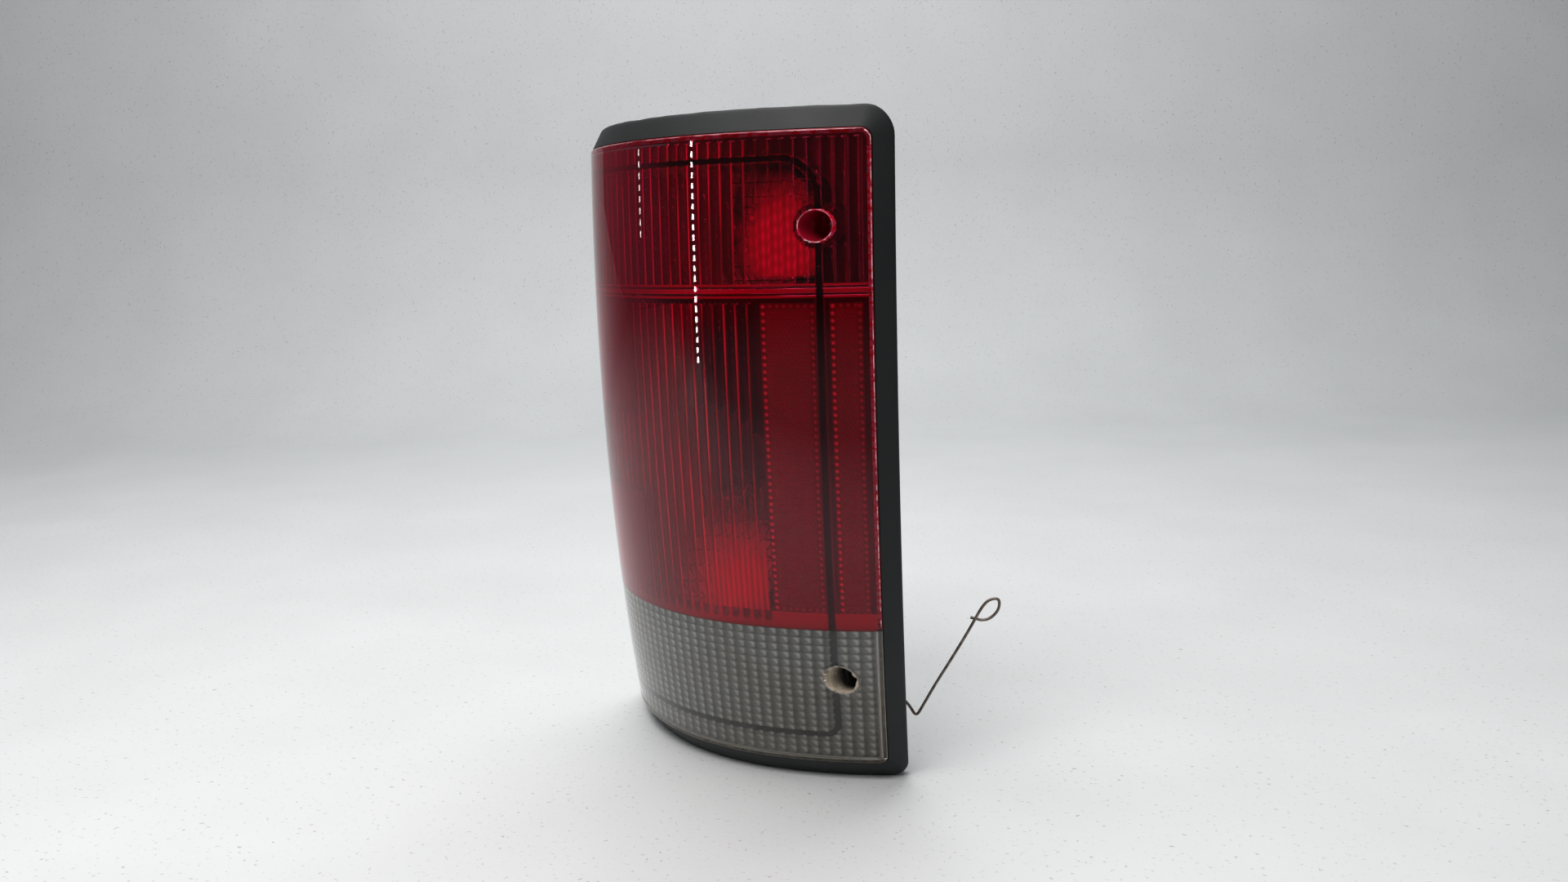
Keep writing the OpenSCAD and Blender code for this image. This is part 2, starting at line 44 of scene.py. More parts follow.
# Lens sizes in mm: lengths s run round the curve from the inner edge, z runs up from the lens's
# bottom edge, and depth runs inwards from the outer face.
HEIGHT, CLEAR_HEIGHT, LENGTH = 395.0, 97.5, 280.0
WALL, RIM_DEPTH = 2.8, 9.0
REAR_R, CORNER_R, REAR_LENGTH = 240.0, 164.0, 80.0
SIDE_R, CROWN = 840.0, 320.0
EDGE_HEADING, SCREW_ANGLE = math.radians(-4.5), math.radians(30.0)
SHIFT = Vector((139.8, -42.58, 13.5))
CORNER_HEADING = EDGE_HEADING + REAR_LENGTH / REAR_R
REAR_CENTRE = Vector((math.sin(EDGE_HEADING), math.cos(EDGE_HEADING))) * REAR_R
CORNER_CENTRE = REAR_CENTRE - Vector(
    (math.sin(CORNER_HEADING), math.cos(CORNER_HEADING))) * (REAR_R - CORNER_R)
FLUTE = 7.5                  # pitch of the flutes and of the clear lens's pillows
FLUTE_DEPTH = 0.8
STEPS = 8                    # columns of mesh in each flute
PILLOW = 5.4                 # height of a pillow
WELLS = {"red": (32.7, 341.2), "clear": (27.6, 62.9)}
MOUTH_R = {"red": 8.95, "clear": 9.6}      # of the hole that each well fills in its lens
WELL_R, WELL_TUBE_R, WELL_DEPTH, WELL_FLOOR, SCREW_R = 8.4, 10.2, 18.0, 2.5, 3.1


def plan(s, depth):
    if s <= REAR_LENGTH:
        heading, centre, radius = EDGE_HEADING + s / REAR_R, REAR_CENTRE, REAR_R
    else:
        heading = CORNER_HEADING + (s - REAR_LENGTH) / CORNER_R
        centre, radius = CORNER_CENTRE, CORNER_R
    reach = radius - depth
    return centre.x - reach * math.sin(heading), centre.y - reach * math.cos(heading)


def turned(x, y, z):
    """A point of the lens's own frame, in mm, as a point of the row frame, in metres."""
    c, n = math.cos(SCREW_ANGLE), math.sin(SCREW_ANGLE)
    return (Vector((x * c - y * n, x * n + y * c, z)) + SHIFT) * MM


def on_lens(s, z, depth=0.0):
    x, y = plan(s, depth)
    r = SIDE_R - y
    return turned(x, y + r - math.sqrt(r * r - (z - CROWN) ** 2), z)


def lens_normal(s, z):
    """Outward normal of the lens at a point."""
    upwards = on_lens(s, z + 1.0) - on_lens(s, z - 1.0)
    inwards = on_lens(s - 1.0, z) - on_lens(s + 1.0, z)
    return inwards.cross(upwards).normalized()


# ---------------------------------------------------------------- camera and light

CAMERA_AT = Vector((0.5719, -0.6758, 0.3469))
CAMERA_YAW, CAMERA_PITCH, CAMERA_ROLL = (math.radians(a) for a in (-38.24, -8.42, -1.45))
CAMERA_LENS = 31.07


def make_camera():
    level = math.cos(CAMERA_PITCH)
    forward = Vector(
        (math.sin(CAMERA_YAW) * level, math.cos(CAMERA_YAW) * level, math.sin(CAMERA_PITCH)))
    camera = bpy.data.objects.new("camera", bpy.data.cameras.new("camera"))
    camera.data.lens = CAMERA_LENS
    camera.data.clip_start = 0.01
    camera.location = CAMERA_AT
    camera.rotation_mode = "QUATERNION"
    camera.rotation_quaternion = (
        Quaternion(forward, -CAMERA_ROLL) @ forward.to_track_quat("-Z", "Y"))
    bpy.context.scene.collection.objects.link(camera)
    bpy.context.scene.camera = camera


def area_light(name, at, target, size, power, colour=(1, 1, 1)):
    lamp = bpy.data.lights.new(name, "AREA")
    lamp.shape = "RECTANGLE"
    lamp.size, lamp.size_y = size
    lamp.energy = power
    lamp.color = colour
    holder = bpy.data.objects.new(name, lamp)
    holder.location = at
    holder.rotation_euler = (Vector(target) - Vector(at)).to_track_quat("-Z", "Y").to_euler()
    bpy.context.scene.collection.objects.link(holder)


def mirrored(s, z, distance):
    """Where a light must stand for the camera to see it mirrored at a point of the lens."""
    p, n = on_lens(s, z), lens_normal(s, z)
    ray = (p - CAMERA_AT).normalized()
    return p + (ray - 2 * ray.dot(n) * n) * distance


LAMP_SHARE = 0.54            # of a strip's length that its lamps fill
STRIP_DISTANCE = 1.3         # metres from the lens


def light_strip(name, s, low, high, count, width, strength, distance=STRIP_DISTANCE):
    """A row of small lamps that the lens mirrors as a dotted upright streak."""
    mesh = bmesh.new()
    for k in range(count):
        share = (k + 0.5) / count
        at = mirrored(s, low + (high - low) * share, distance)
        step = (mirrored(s, high, distance) - mirrored(s, low, distance)) / count
        facing = (on_lens(s, (low + high) / 2) - at).normalized()
        up = (step - step.dot(facing) * facing).normalized() * step.length * LAMP_SHARE / 2
        side = facing.cross(up).normalized() * width
        mesh.faces.new([mesh.verts.new(at + a * side + b * up)
                        for a, b in ((-1, -1), (1, -1), (1, 1), (-1, 1))])
    strip = add_object(name, mesh, smooth=False)
    strip.data.materials.append(glow_material(name + "_glow", (1, 0.98, 0.95), strength))


def glow_material(name, colour, strength):
    material, tree, shader = new_material(name)
    glow = tree.nodes.new("ShaderNodeEmission")
    glow.inputs["Color"].default_value = (*colour, 1)
    glow.inputs["Strength"].default_value = strength
    output = next(n for n in tree.nodes if n.type == "OUTPUT_MATERIAL")
    tree.links.new(glow.outputs[0], output.inputs["Surface"])
    tree.nodes.remove(shader)
    return material


def make_light():
    world = bpy.data.worlds.new("world")
    world.use_nodes = True
    background = world.node_tree.nodes["Background"]
    background.inputs["Color"].default_value = (0.86, 0.93, 1.0, 1)
    background.inputs["Strength"].default_value = 0.10
    bpy.context.scene.world = world
    bpy.context.scene.view_settings.view_transform = "Standard"
    area_light("ceiling", (-0.3, 0.1, 2.0), (-0.1, 0.1, 0.2), (1.8, 1.5), 34, (1, 0.99, 0.97))
    area_light("key", (0.3, -1.2, 1.75), (0, 0, 0.2), (0.9, 0.7), 24, (1, 0.98, 0.96))
    area_light("rim", (1.5, -0.55, 0.6), (0.1, 0, 0.25), (0.2, 0.9), 2, (1, 0.98, 0.95))
    area_light("wall_wash", (-1.0, 1.2, 2.3), (-1.6, 2.4, 0.6), (2.4, 0.8), 13, (0.92, 0.97, 1))
    light_strip("long_strip", 108, 262, 393, 22, 0.013, 60)
    light_strip("short_strip", 152, 336, 391, 8, 0.008, 20)


# ---------------------------------------------------------------- meshes

def add_object(name, mesh, smooth=True, sharp=35):
    data = bpy.data.meshes.new(name)
    mesh.to_mesh(data)
    mesh.free()
    if smooth:
        data.shade_smooth()
        data.set_sharp_from_angle(angle=math.radians(sharp))
    made = bpy.data.objects.new(name, data)
    bpy.context.scene.collection.objects.link(made)
    return made


def finish_piece(piece, material, slot, body, *nodes):
    piece.data.materials.clear()
    piece.data.materials.append(material)
    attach(piece, body)
    if nodes:
        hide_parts(*nodes)
    return piece


def bridge(mesh, a, b):
    """Quads between two rows of the same length."""
    for k in range(len(a) - 1):
        mesh.faces.new((a[k], a[k + 1], b[k + 1], b[k]))


def ladder(low, high, step, marks=()):
    """Values from low to high no further apart than step, with the marks among them."""
    stops = sorted({low, high, *(m for m in marks if low < m < high)})
    values = []
    for a, b in zip(stops, stops[1:]):
        count = max(1, math.ceil((b - a) / step))
        values += [a + (b - a) * k / count for k in range(count)]
    return values + [high]


# Distances from the lens's outline, in mm, at which its mesh has a column or a row
EDGE_OUT = (0, 0.12, 0.35, 0.7, 1.15, 2.5, 3.4, 4.3)    # on the outer face
EDGE_IN = (0, 0.1, 0.3, 0.5, 0.8, 1.1, 1.4, 1.7)        # on the inner face
EDGE_ROUND = 1.2
GROOVE_AT, GROOVE_HALF, GROOVE_DEPTH = 3.4, 0.9, 0.4    # in the clear lens's outer face


def columns():
    """Lengths s of the mesh's columns, on the outer face and on the inner one."""
    pitch = FLUTE / STEPS
    first = math.ceil((WALL + EDGE_IN[-1] + 0.2) / pitch)
    last = math.floor((LENGTH - WALL - EDGE_IN[-1] - 0.2) / pitch)
    middle = [k * pitch for k in range(first, last + 1)]
    outer = [*EDGE_OUT, *middle, *(LENGTH - e for e in reversed(EDGE_OUT))]
    inner = [*(WALL + e for e in EDGE_IN), *middle, *(LENGTH - WALL - e for e in reversed(EDGE_IN))]
    return outer, inner


def into_corner(s, z, edge_s, edge_z, r, inwards):
    """Moves a point of the square in a corner into the quarter disc there, and says how far from
    the outline it is. inwards is the direction in z from the corner's edge to the middle."""
    u, v = 1 - (s - edge_s) / r, 1 - (z - edge_z) * inwards / r
    if r <= 0 or u <= 0 or v <= 0:
        return s, z, None
    p, q = u * math.sqrt(1 - v * v / 2), v * math.sqrt(1 - u * u / 2)
    return edge_s + (1 - p) * r, edge_z + (1 - q) * r * inwards, r * (1 - math.hypot(p, q))


def lens_grid(mesh, s_values, z_values, bounds, corner, rim_above, depth_of, look_of, layer):
    """One face of the lens as a grid. bounds are its s and z limits, and corner is the radius of
    its one rounded corner, at the rim end of the inner edge. The look of a point is how cloudy it
    is, how bright a line it carries (painted highlight lines, painted glow and brighter bands), its
    tone, which darkens it with painted shade and with the sealant's dark, and how much painted edge
    reflection it carries."""
    (s_low, s_high), (z_low, z_high) = bounds
    edge_z, inwards = (z_high, -1) if rim_above else (z_low, 1)
    rows = []
    for z in z_values:
        row = []
        for s in s_values:
            s_at, z_at, off = into_corner(s, z, s_low, edge_z, corner, inwards)
            if off is None:
                off = min(s - s_low, s_high - s, (z - edge_z) * inwards)
            vert = mesh.verts.new(on_lens(s_at, z_at, depth_of(s_at, z_at, off)))
            vert[layer] = look_of(s_at, z_at, off)
            row.append(vert)
        rows.append(row)
    return rows


def edge_round(s, z, off):
    short = min(EDGE_ROUND, max(0.0, EDGE_ROUND - off))
    return EDGE_ROUND - math.sqrt(EDGE_ROUND ** 2 - short ** 2)


def clear_edge(s, z, off):
    """The clear lens's outer face has a fine groove just inside its edge."""
    groove = GROOVE_DEPTH * max(0.0, 1 - abs(off - GROOVE_AT) / GROOVE_HALF)
    return edge_round(s, z, off) + groove


def outer_look(s, z, off):
    """The outer face is clean. Its rounded edge carries a painted white reflection on the red
    lens and painted light lines along the edge and its groove on the clear one, and the red one is
    painted darker, as painted shade, where it turns round the corner."""
    if z < CLEAR_HEIGHT:
        # Painted light lines along the clear lens's rounded edge and its groove.
        return 0.0, 0.0, 0.5, 0.45 if 0.2 < off < 0.5 or 3.0 < off < 3.8 else 0.0
    if off < 0.5 and z > CLEAR_HEIGHT + 0.5:
        return 0.5, 0.0, 0.95, 0.0
    sheen_and_wear = 0.0
    # Painted white reflection along the red lens's rounded edge, strongest near s = 0.
    if off < 0.9 and z > CLEAR_HEIGHT + 1:
        sheen_and_wear = 1.0 if s < 5 else 0.55
    # Painted shade on the red outer face where it turns round the corner.
    return 0.2 * soft_step(s, 120, 200), 0.0, 0.5 + 0.5 * soft_step(s, 110, 170), sheen_and_wear


def rim_path(rows):
    """The three sides of a grid that have a rim, from the first row round to it again."""
    return [r[0] for r in rows] + rows[-1][1:] + [r[-1] for r in rows[-2::-1]]


def rim_edge(mesh, s_values, z_values, corner, rim_above):
    """The same three sides at the depth of the rim's end."""
    if not rim_above:
        z_values = z_values[::-1]
    spots = [(s_values[0], z) for z in z_values] + [(s, z_values[-1]) for s in s_values[1:]]
    spots += [(s_values[-1], z) for z in z_values[-2::-1]]
    inwards = -1 if rim_above else 1
    made = []
    for s, z in spots:
        s_at, z_at, _ = into_corner(s, z, s_values[0], z_values[-1], corner, inwards)
        made.append(mesh.verts.new(on_lens(s_at, z_at, RIM_DEPTH)))
    return made


def lens_solid(name, low, high, rim_above, corner, row_values, outer_depth, inner_depth,
               inner_look):
    """A lens with a fluted inner face, a turned-back rim on three sides and a flat cut on the
    fourth, where it meets the other lens."""
    mesh = bmesh.new()
    layer = mesh.verts.layers.float_color.new("look")
    outer_s, inner_s = columns()
    outer_z, inner_z = row_values
    outer = lens_grid(mesh, outer_s, outer_z, ((0, LENGTH), (low, high)), corner, rim_above,
                      outer_depth, outer_look, layer)
    inner_low, inner_high = (low, high - WALL) if rim_above else (low + WALL, high)
    inner = lens_grid(mesh, inner_s, inner_z, ((WALL, LENGTH - WALL), (inner_low, inner_high)),
                      corner - WALL, rim_above, inner_depth, inner_look, layer)
    for a, b in zip(outer, outer[1:]):
        bridge(mesh, a, b)
    for a, b in zip(inner, inner[1:]):
        bridge(mesh, b, a)
    if not rim_above:
        outer, inner = outer[::-1], inner[::-1]
    outer_path, inner_path = rim_path(outer), rim_path(inner)
    outer_deep = rim_edge(mesh, outer_s, outer_z, corner, rim_above)
    inner_deep = rim_edge(mesh, inner_s, inner_z, corner - WALL, rim_above)
    for a, b in ((outer_path, outer_deep), (outer_deep, inner_deep), (inner_deep, inner_path)):
        bridge(mesh, a, b)
    bridge(mesh, outer[0], inner[0])
    for k in (0, -1):
        mesh.faces.new((outer_path[k], outer_deep[k], inner_deep[k], inner_path[k]))
    bmesh.ops.recalc_face_normals(mesh, faces=mesh.faces)
    return add_object(name, mesh)


def well_axis(well):
    return on_lens(*WELLS[well])


def lens_front(x, z):
    """Row-frame y of the lens's outer face, in metres, at a row-frame x and z in metres."""
    z_mm = z / MM - SHIFT.z
    low, high = -10.0, LENGTH
    for _ in range(30):
        middle = (low + high) / 2
        if on_lens(middle, z_mm).x > x:
            low = middle
        else:
            high = middle
    return on_lens(low, z_mm).y


def ring_of(mesh, centre, radius, y_of, sides=64):
    made = []
    for k in range(sides):
        a = 2 * math.pi * k / sides
        x, z = centre.x + radius * MM * math.cos(a), centre.z + radius * MM * math.sin(a)
        made.append(mesh.verts.new((x, y_of(x, z), z)))
    return made


def close_rings(mesh, rings):
    for a, b in zip(rings, rings[1:] + rings[:1]):
        count = len(a)
        for k in range(count):
            mesh.faces.new((a[k], a[(k + 1) % count], b[(k + 1) % count], b[k]))


def chipped(well, angle):
    """How much of a well's mouth has broken away in a direction, in mm."""
    if well == "red":
        return 0.0
    ragged = noise.noise(Vector((math.cos(angle) * 2.2, math.sin(angle) * 2.2, 4.4)))
    fine = noise.noise(Vector((math.cos(angle) * 8, math.sin(angle) * 8, 1.3)))
    return max(0.0, 2.4 * soft_step(math.cos(angle - 0.9), -0.1, 0.7) + 4.0 * ragged + 3.2 * fine)


# Rings of a well's tube, counted from the outside of its mouth
MOUTH_RINGS, WALL_RINGS, BROKEN_RINGS = range(2, 6), range(6, 13), range(3, 8)
TUBE_LOOK = (0.02, 0.0, 0.8, 0.0)
BROKEN_LOOK = (0.02, 0.0, 0.8, 0.9)
# Painted shade in the red well: its mouth and wall are painted opaque dark red.
RED_MOUTH_SHADE = (0.85, 0.0, 1.1, 0.0)
RED_WALL_SHADE = (0.6, 0.0, 0.98, 0.0)


def ring_look(well, k):
    if well == "clear":
        return BROKEN_LOOK if k in BROKEN_RINGS else TUBE_LOOK
    if k in MOUTH_RINGS:
        return RED_MOUTH_SHADE
    return RED_WALL_SHADE if k in WALL_RINGS else TUBE_LOOK


def well_tube(name, well):
    """The screw well: a tube whose mouth follows the lens, with a drilled floor."""
    at = well_axis(well)
    mesh = bmesh.new()
    layer = mesh.verts.layers.float_color.new("look")
    floor, back = at.y + WELL_DEPTH * MM, at.y + (WELL_DEPTH + WELL_FLOOR) * MM
    clear = 0.03

    def mouth(x, z, sunk):
        angle = math.atan2(z - at.z, x - at.x)
        return lens_front(x, z) + (sunk + chipped(well, angle)) * MM

    def wall(x, z, share):
        return mouth(x, z, 0.3) * (1 - share) + (floor - 0.8 * MM) * share

    edge = MOUTH_R[well] - clear
    profile = [
        (WELL_TUBE_R - clear, lambda x, z: lens_front(x, z) + (WALL + 1.2) * MM),
        (edge, lambda x, z: lens_front(x, z) + (WALL + 0.9) * MM),
        (edge, lambda x, z: lens_front(x, z) + 0.1 * MM),
        (edge - 0.1, lambda x, z: mouth(x, z, 0.0)),
        (WELL_R + 0.25, lambda x, z: mouth(x, z, 0.0)),
        (WELL_R + 0.08, lambda x, z: mouth(x, z, 0.1)),
        (WELL_R, lambda x, z: mouth(x, z, 0.3)),
        (WELL_R, lambda x, z: wall(x, z, 0.35)),
        (WELL_R, lambda x, z: wall(x, z, 1.0)),
        (WELL_R - 0.8, lambda x, z: floor),
        (SCREW_R + 0.3, lambda x, z: floor),
        (SCREW_R, lambda x, z: floor + 0.3 * MM),
        (SCREW_R, lambda x, z: back),
        (WELL_TUBE_R - 0.5, lambda x, z: back),
        (WELL_TUBE_R - clear, lambda x, z: back - 0.5 * MM),
    ]
    rings = [ring_of(mesh, at, r, y_of) for r, y_of in profile]
    close_rings(mesh, rings)
    for k, ring in enumerate(rings):
        for vert in ring:
            vert[layer] = ring_look(well, k)
    bmesh.ops.recalc_face_normals(mesh, faces=mesh.faces)
    return add_object(name, mesh)


def cylinder_cutter(at, radius, sides=64):
    mesh = bmesh.new()
    rings = [ring_of(mesh, at, radius, lambda x, z, y=y: at.y + y, sides) for y in (-0.03, 0.012)]
    front, back = rings
    for k in range(sides):
        mesh.faces.new((front[k], front[(k + 1) % sides], back[(k + 1) % sides], back[k]))
    mesh.faces.new(front)
    mesh.faces.new(back[::-1])
    bmesh.ops.recalc_face_normals(mesh, faces=mesh.faces)
    return add_object("cutter", mesh, smooth=False)


def cut_out(piece, cutter):
    change = piece.modifiers.new("cut", "BOOLEAN")
    change.operation = "DIFFERENCE"
    change.solver = "MANIFOLD"
    change.object = cutter
    bpy.context.view_layer.update()
    graph = bpy.context.evaluated_depsgraph_get()
    mesh = bpy.data.meshes.new_from_object(
        piece.evaluated_get(graph), preserve_all_data_layers=True, depsgraph=graph)
    piece.modifiers.clear()
    piece.data = mesh
    bpy.data.objects.remove(cutter)


def joined(piece, *others):
    mesh = bmesh.new()
    for part in (piece, *others):
        mesh.from_mesh(part.data)
    mesh.to_mesh(piece.data)
    mesh.free()
    for part in others:
        bpy.data.objects.remove(part)
    piece.data.shade_smooth()
    piece.data.set_sharp_from_angle(angle=math.radians(35))
    return piece


# ---------------------------------------------------------------- lens optics

# Zones of the red lens, each from a lower to an upper s or z
RIB_BAND = (301.0, 309.0)            # a flat band in z with two fine ribs
MIDDLE = (109.0, 298.0)              # z of the flutes and panels below that band
FLUTED = (70.0, 167.0)               # s of the flutes there
SIDE_FLUTES = (178.0, 229.0)         # z of the flutes between the side panels
WIDE_PANEL, NARROW_PANEL = (34.0, 67.0), (6.4, 25.5)
UPPER_SIDE_PANEL, LOWER_SIDE_PANEL = (171.0, 243.0, 229.0, 298.0), (168.0, 243.0, 110.0, 178.0)
BOND_S, BOND_Z, BOND_WIDTH = (29.4, 250.0), (20.0, 381.0), 3.2
BOND_TOP_R, BOND_BOTTOM_R = 24.0, 10.0

# Where a painted glow of the bowls lies on the red lens: (s, z) of the middle, and how far it
# reaches from it
STOP_GLOW, STOP_REACH, STOP_REACH_UP, STOP_REACH_DOWN = (52, 328), 32, 46, 28
TAIL_GLOW, TAIL_REACH, TAIL_REACH_UP = (86, 122), 56, 62
# The hollow is painted shade: the flutes' painted veil of light is left out there.
HOLLOW, HOLLOW_REACH, HOLLOW_REACH_UP = (88, 235), 40, 75     # where the dark tub shows instead


def flute(s):
    """0 at the middle of a flute and 1 at the cusp between two."""
    return (2 * ((s / FLUTE) % 1.0) - 1) ** 2


def cell(z):
    return (2 * ((z / PILLOW) % 1.0) - 1) ** 2


def soft_step(value, low, high):
    share = min(1.0, max(0.0, (value - low) / (high - low)))
    return share * share * (3 - 2 * share)


def by_well(s, z):
    well_s, well_z = WELLS["red"]
    return math.hypot(s - well_s, z - well_z) < WELL_TUBE_R + 2.5


def red_zone(s, z):
    if by_well(s, z):
        return "plain"
    if z > RIB_BAND[1]:
        return "flutes" if 5 < s < LENGTH - 5 and z < HEIGHT - 4.5 else "plain"
    if z > RIB_BAND[0]:
        return "band"
    if not MIDDLE[0] < z < MIDDLE[1]:
        return "plain"
    if FLUTED[0] < s < FLUTED[1] or (s > FLUTED[1] and SIDE_FLUTES[0] < z < SIDE_FLUTES[1]):
        return "flutes"
    return "panel"


def near_rib(z):
    return min(abs(z - RIB_BAND[0] - 2), abs(z - RIB_BAND[1] + 2)) < 0.6


def red_depth(s, z, off):
    zone = red_zone(s, z)
    if zone == "flutes":
        return WALL - FLUTE_DEPTH * flute(s)
    if zone == "band":
        return WALL - (0.0 if near_rib(z) else 0.5)
    return WALL


def bond_share(s, z):
    """1 where the bead of sealant touches the lens, and 0 away from it."""
    r = BOND_TOP_R if z > HEIGHT / 2 else BOND_BOTTOM_R
    u = abs(s - (BOND_S[0] + BOND_S[1]) / 2) - (BOND_S[1] - BOND_S[0]) / 2 + r
    v = abs(z - (BOND_Z[0] + BOND_Z[1]) / 2) - (BOND_Z[1] - BOND_Z[0]) / 2 + r
    inside = r - math.hypot(max(u, 0.0), max(v, 0.0)) - min(max(u, v), 0.0)
    return soft_step(BOND_WIDTH / 2 + 0.7 - abs(inside - BOND_WIDTH / 2), 0.0, 0.8)


def glow(s, z):
    """How bright the painted glow of a lamp's bowl is on the lens at a point, in upright columns.
    """
    column = 0.6 + 0.4 * math.cos(2 * math.pi * s / (FLUTE / 2))
    if z > RIB_BAND[1]:
        if z < RIB_BAND[1] + 4 or s < BOND_S[0] + BOND_WIDTH:
            return 0.0
        s_off, z_off = s - STOP_GLOW[0], z - STOP_GLOW[1]
        reach_z = STOP_REACH_UP if z_off > 0 else STOP_REACH_DOWN
        spread = math.hypot(s_off / STOP_REACH, z_off / reach_z)
        step = 0.75 + 0.25 * math.cos(2 * math.pi * (z + 3 * math.floor(s / FLUTE)) / 7.5)
        return soft_step(1 - spread, 0.0, 0.6) * (0.45 + 0.55 * column * step)
    if not MIDDLE[0] < z < SIDE_FLUTES[0] or s < FLUTED[0]:
        return 0.0
    spread = math.hypot((s - TAIL_GLOW[0]) / TAIL_REACH, (z - TAIL_GLOW[1]) / TAIL_REACH_UP)
    return 0.85 * soft_step(1 - spread, 0.0, 0.85) * (0.4 + 0.6 * column)


def red_look(s, z, off):
    bond = bond_share(s, z)
    if bond > 0:
        return 0.9 * bond, 0.0, 1 + bond, 0.0
    zone = red_zone(s, z)
    if zone == "flutes":
        # Painted light and shade: a painted highlight line at each flute's cusp, the painted glow
        # of the bowls, painted shade deepening across each flute (the tone), and a faint painted
        # red veil of light that is left out over the hollow, which stays in painted shade.
        along = (s / FLUTE) % 1.0
        line = soft_step(max(along, 1 - along * 6), 0.84, 0.97)
        strength = 0.25 + 0.75 * soft_step(s, 60, 90)
        strength *= 0.35 + 0.65 * soft_step(noise.noise(Vector((s / 5, z / 50, 0))), -0.4, 0.3)
        painted_glow = glow(s, z)
        bright = max(line * strength, painted_glow)
        spread = math.hypot((s - HOLLOW[0]) / HOLLOW_REACH, (z - HOLLOW[1]) / HOLLOW_REACH_UP)
        painted_veil = 0.16 * soft_step(spread, 0.4, 1.2)
        painted_veil *= soft_step(s, 60, 115) * (0.6 if z > RIB_BAND[1] else 1.0)
        return max(0.9 * line * strength, 0.9 * painted_glow, painted_veil), bright, along * (1 - painted_glow), 0.0
    if zone == "band":
        return (0.1, 0.0, 1.0, 0.0) if near_rib(z) else (0.55, 0.35, 0.5, 0.0)
    if zone == "plain" and z < MIDDLE[0]:
        # Painted shadow of the shelf wall: dark rectangles between the flute lines just above the
        # clear lens.
        shelf_shadow = s > 66 and z > 100 and abs((s / FLUTE) % 1.0 - 0.5) < 0.3
        return (0.3, 0.0, 1.0, 0.0) if shelf_shadow else (0.55, 0.25, 0.4, 0.0)
    return 0.03, 0.0, 0.4, 0.0


def clear_depth(s, z, off):
    if off < 2.0:
        return WALL
    return WALL - 0.5 * (flute(s) + cell(z)) * (1 - bond_share(s, z))


def clear_look(s, z, off):
    """Each pillow carries a painted highlight towards its upper, inner corner, and painted shade
    towards its lower, outer corner and along its seams.
    """
    bond = bond_share(s, z)
    across, up = 1 - 2 * ((s / FLUTE) % 1.0), 2 * ((z / PILLOW) % 1.0) - 1
    crescent_highlight = soft_step(across + 0.7 * up, 0.2, 0.9) * soft_step(up, -0.7, -0.2)
    seam_shade = soft_step(max(flute(s), 1.1 * cell(z)), 0.6, 0.9)
    shade = 0.45 * soft_step(-across - 0.5 * up, 0.0, 1.0)
    if off < 2.0:
        crescent_highlight, seam_shade, shade = 0.25, 0.0, 0.0
    line = crescent_highlight * (1 - 0.6 * seam_shade) * (1 - bond)
    tone = (0.5 + max(0.4 * seam_shade, shade)) * (1 - bond) + 2.0 * bond
    return max(0.5 + 0.4 * crescent_highlight, 0.9 * bond), line, tone, 0.0


def red_rows():
    marks = [m + d for m in (*RIB_BAND, *MIDDLE, *SIDE_FLUTES) for d in (-0.15, 0.15)]
    marks += [m + d for m in (RIB_BAND[0] + 2, RIB_BAND[1] - 2) for d in (-0.75, -0.55, 0.55, 0.75)]
    marks += ladder(310, 383, 1.2)
    marks += [99.7, 100.0]
    inside = ladder(CLEAR_HEIGHT, HEIGHT - 6, 5.0, marks)[:-1]
    outer = [*inside, HEIGHT - 6, HEIGHT - 4, *(HEIGHT - e for e in reversed(EDGE_OUT))]
    inner = [*inside, HEIGHT - 6, HEIGHT - 5, *(HEIGHT - WALL - e for e in reversed(EDGE_IN))]
    return outer, inner


def clear_rows():
    rows = ladder(5.4, CLEAR_HEIGHT, PILLOW / 6)
    outer = [*EDGE_OUT, 3.4, *rows]
    inner = [*(WALL + e for e in EDGE_IN), 4.6, *rows]
    return outer, inner


def make_lenses():
    red = lens_solid("red_lens", CLEAR_HEIGHT, HEIGHT, True, 7.0, red_rows(), edge_round,
                     red_depth, red_look)
    cut_out(red, cylinder_cutter(well_axis("red"), MOUTH_R["red"]))
    joined(red, well_tube("red_well", "red"))
    finish_piece(red, red_acrylic(), "red_lens", "lamp", "lens_red")
    clear = lens_solid("clear_lens", 0.0, CLEAR_HEIGHT, False, 6.0, clear_rows(), clear_edge,
                       clear_depth, clear_look)
    cut_out(clear, cylinder_cutter(well_axis("clear"), MOUTH_R["clear"]))
    joined(clear, well_tube("clear_well", "clear"))
    finish_piece(clear, clear_acrylic(), "clear_lens", "lamp", "lens_clear")


# ---------------------------------------------------------------- materials

def new_material(name):
    material = bpy.data.materials.new(name)
    material.use_nodes = True
    return material, material.node_tree, material.node_tree.nodes["Principled BSDF"]


def set_shader(shader, **values):
    for key, value in values.items():
        shader.inputs[key.replace("_", " ")].default_value = value


def noise_of(tree, scale, detail=4.0, stretch=(1, 1, 1), rough=0.55):
    place = tree.nodes.new("ShaderNodeTexCoord")
    move = tree.nodes.new("ShaderNodeMapping")
    move.inputs["Scale"].default_value = stretch
    made = tree.nodes.new("ShaderNodeTexNoise")
    made.inputs["Scale"].default_value = scale
    made.inputs["Detail"].default_value = detail
    made.inputs["Roughness"].default_value = rough
    tree.links.new(place.outputs["Object"], move.inputs["Vector"])
    tree.links.new(move.outputs[0], made.inputs["Vector"])
    return made.outputs["Fac"]


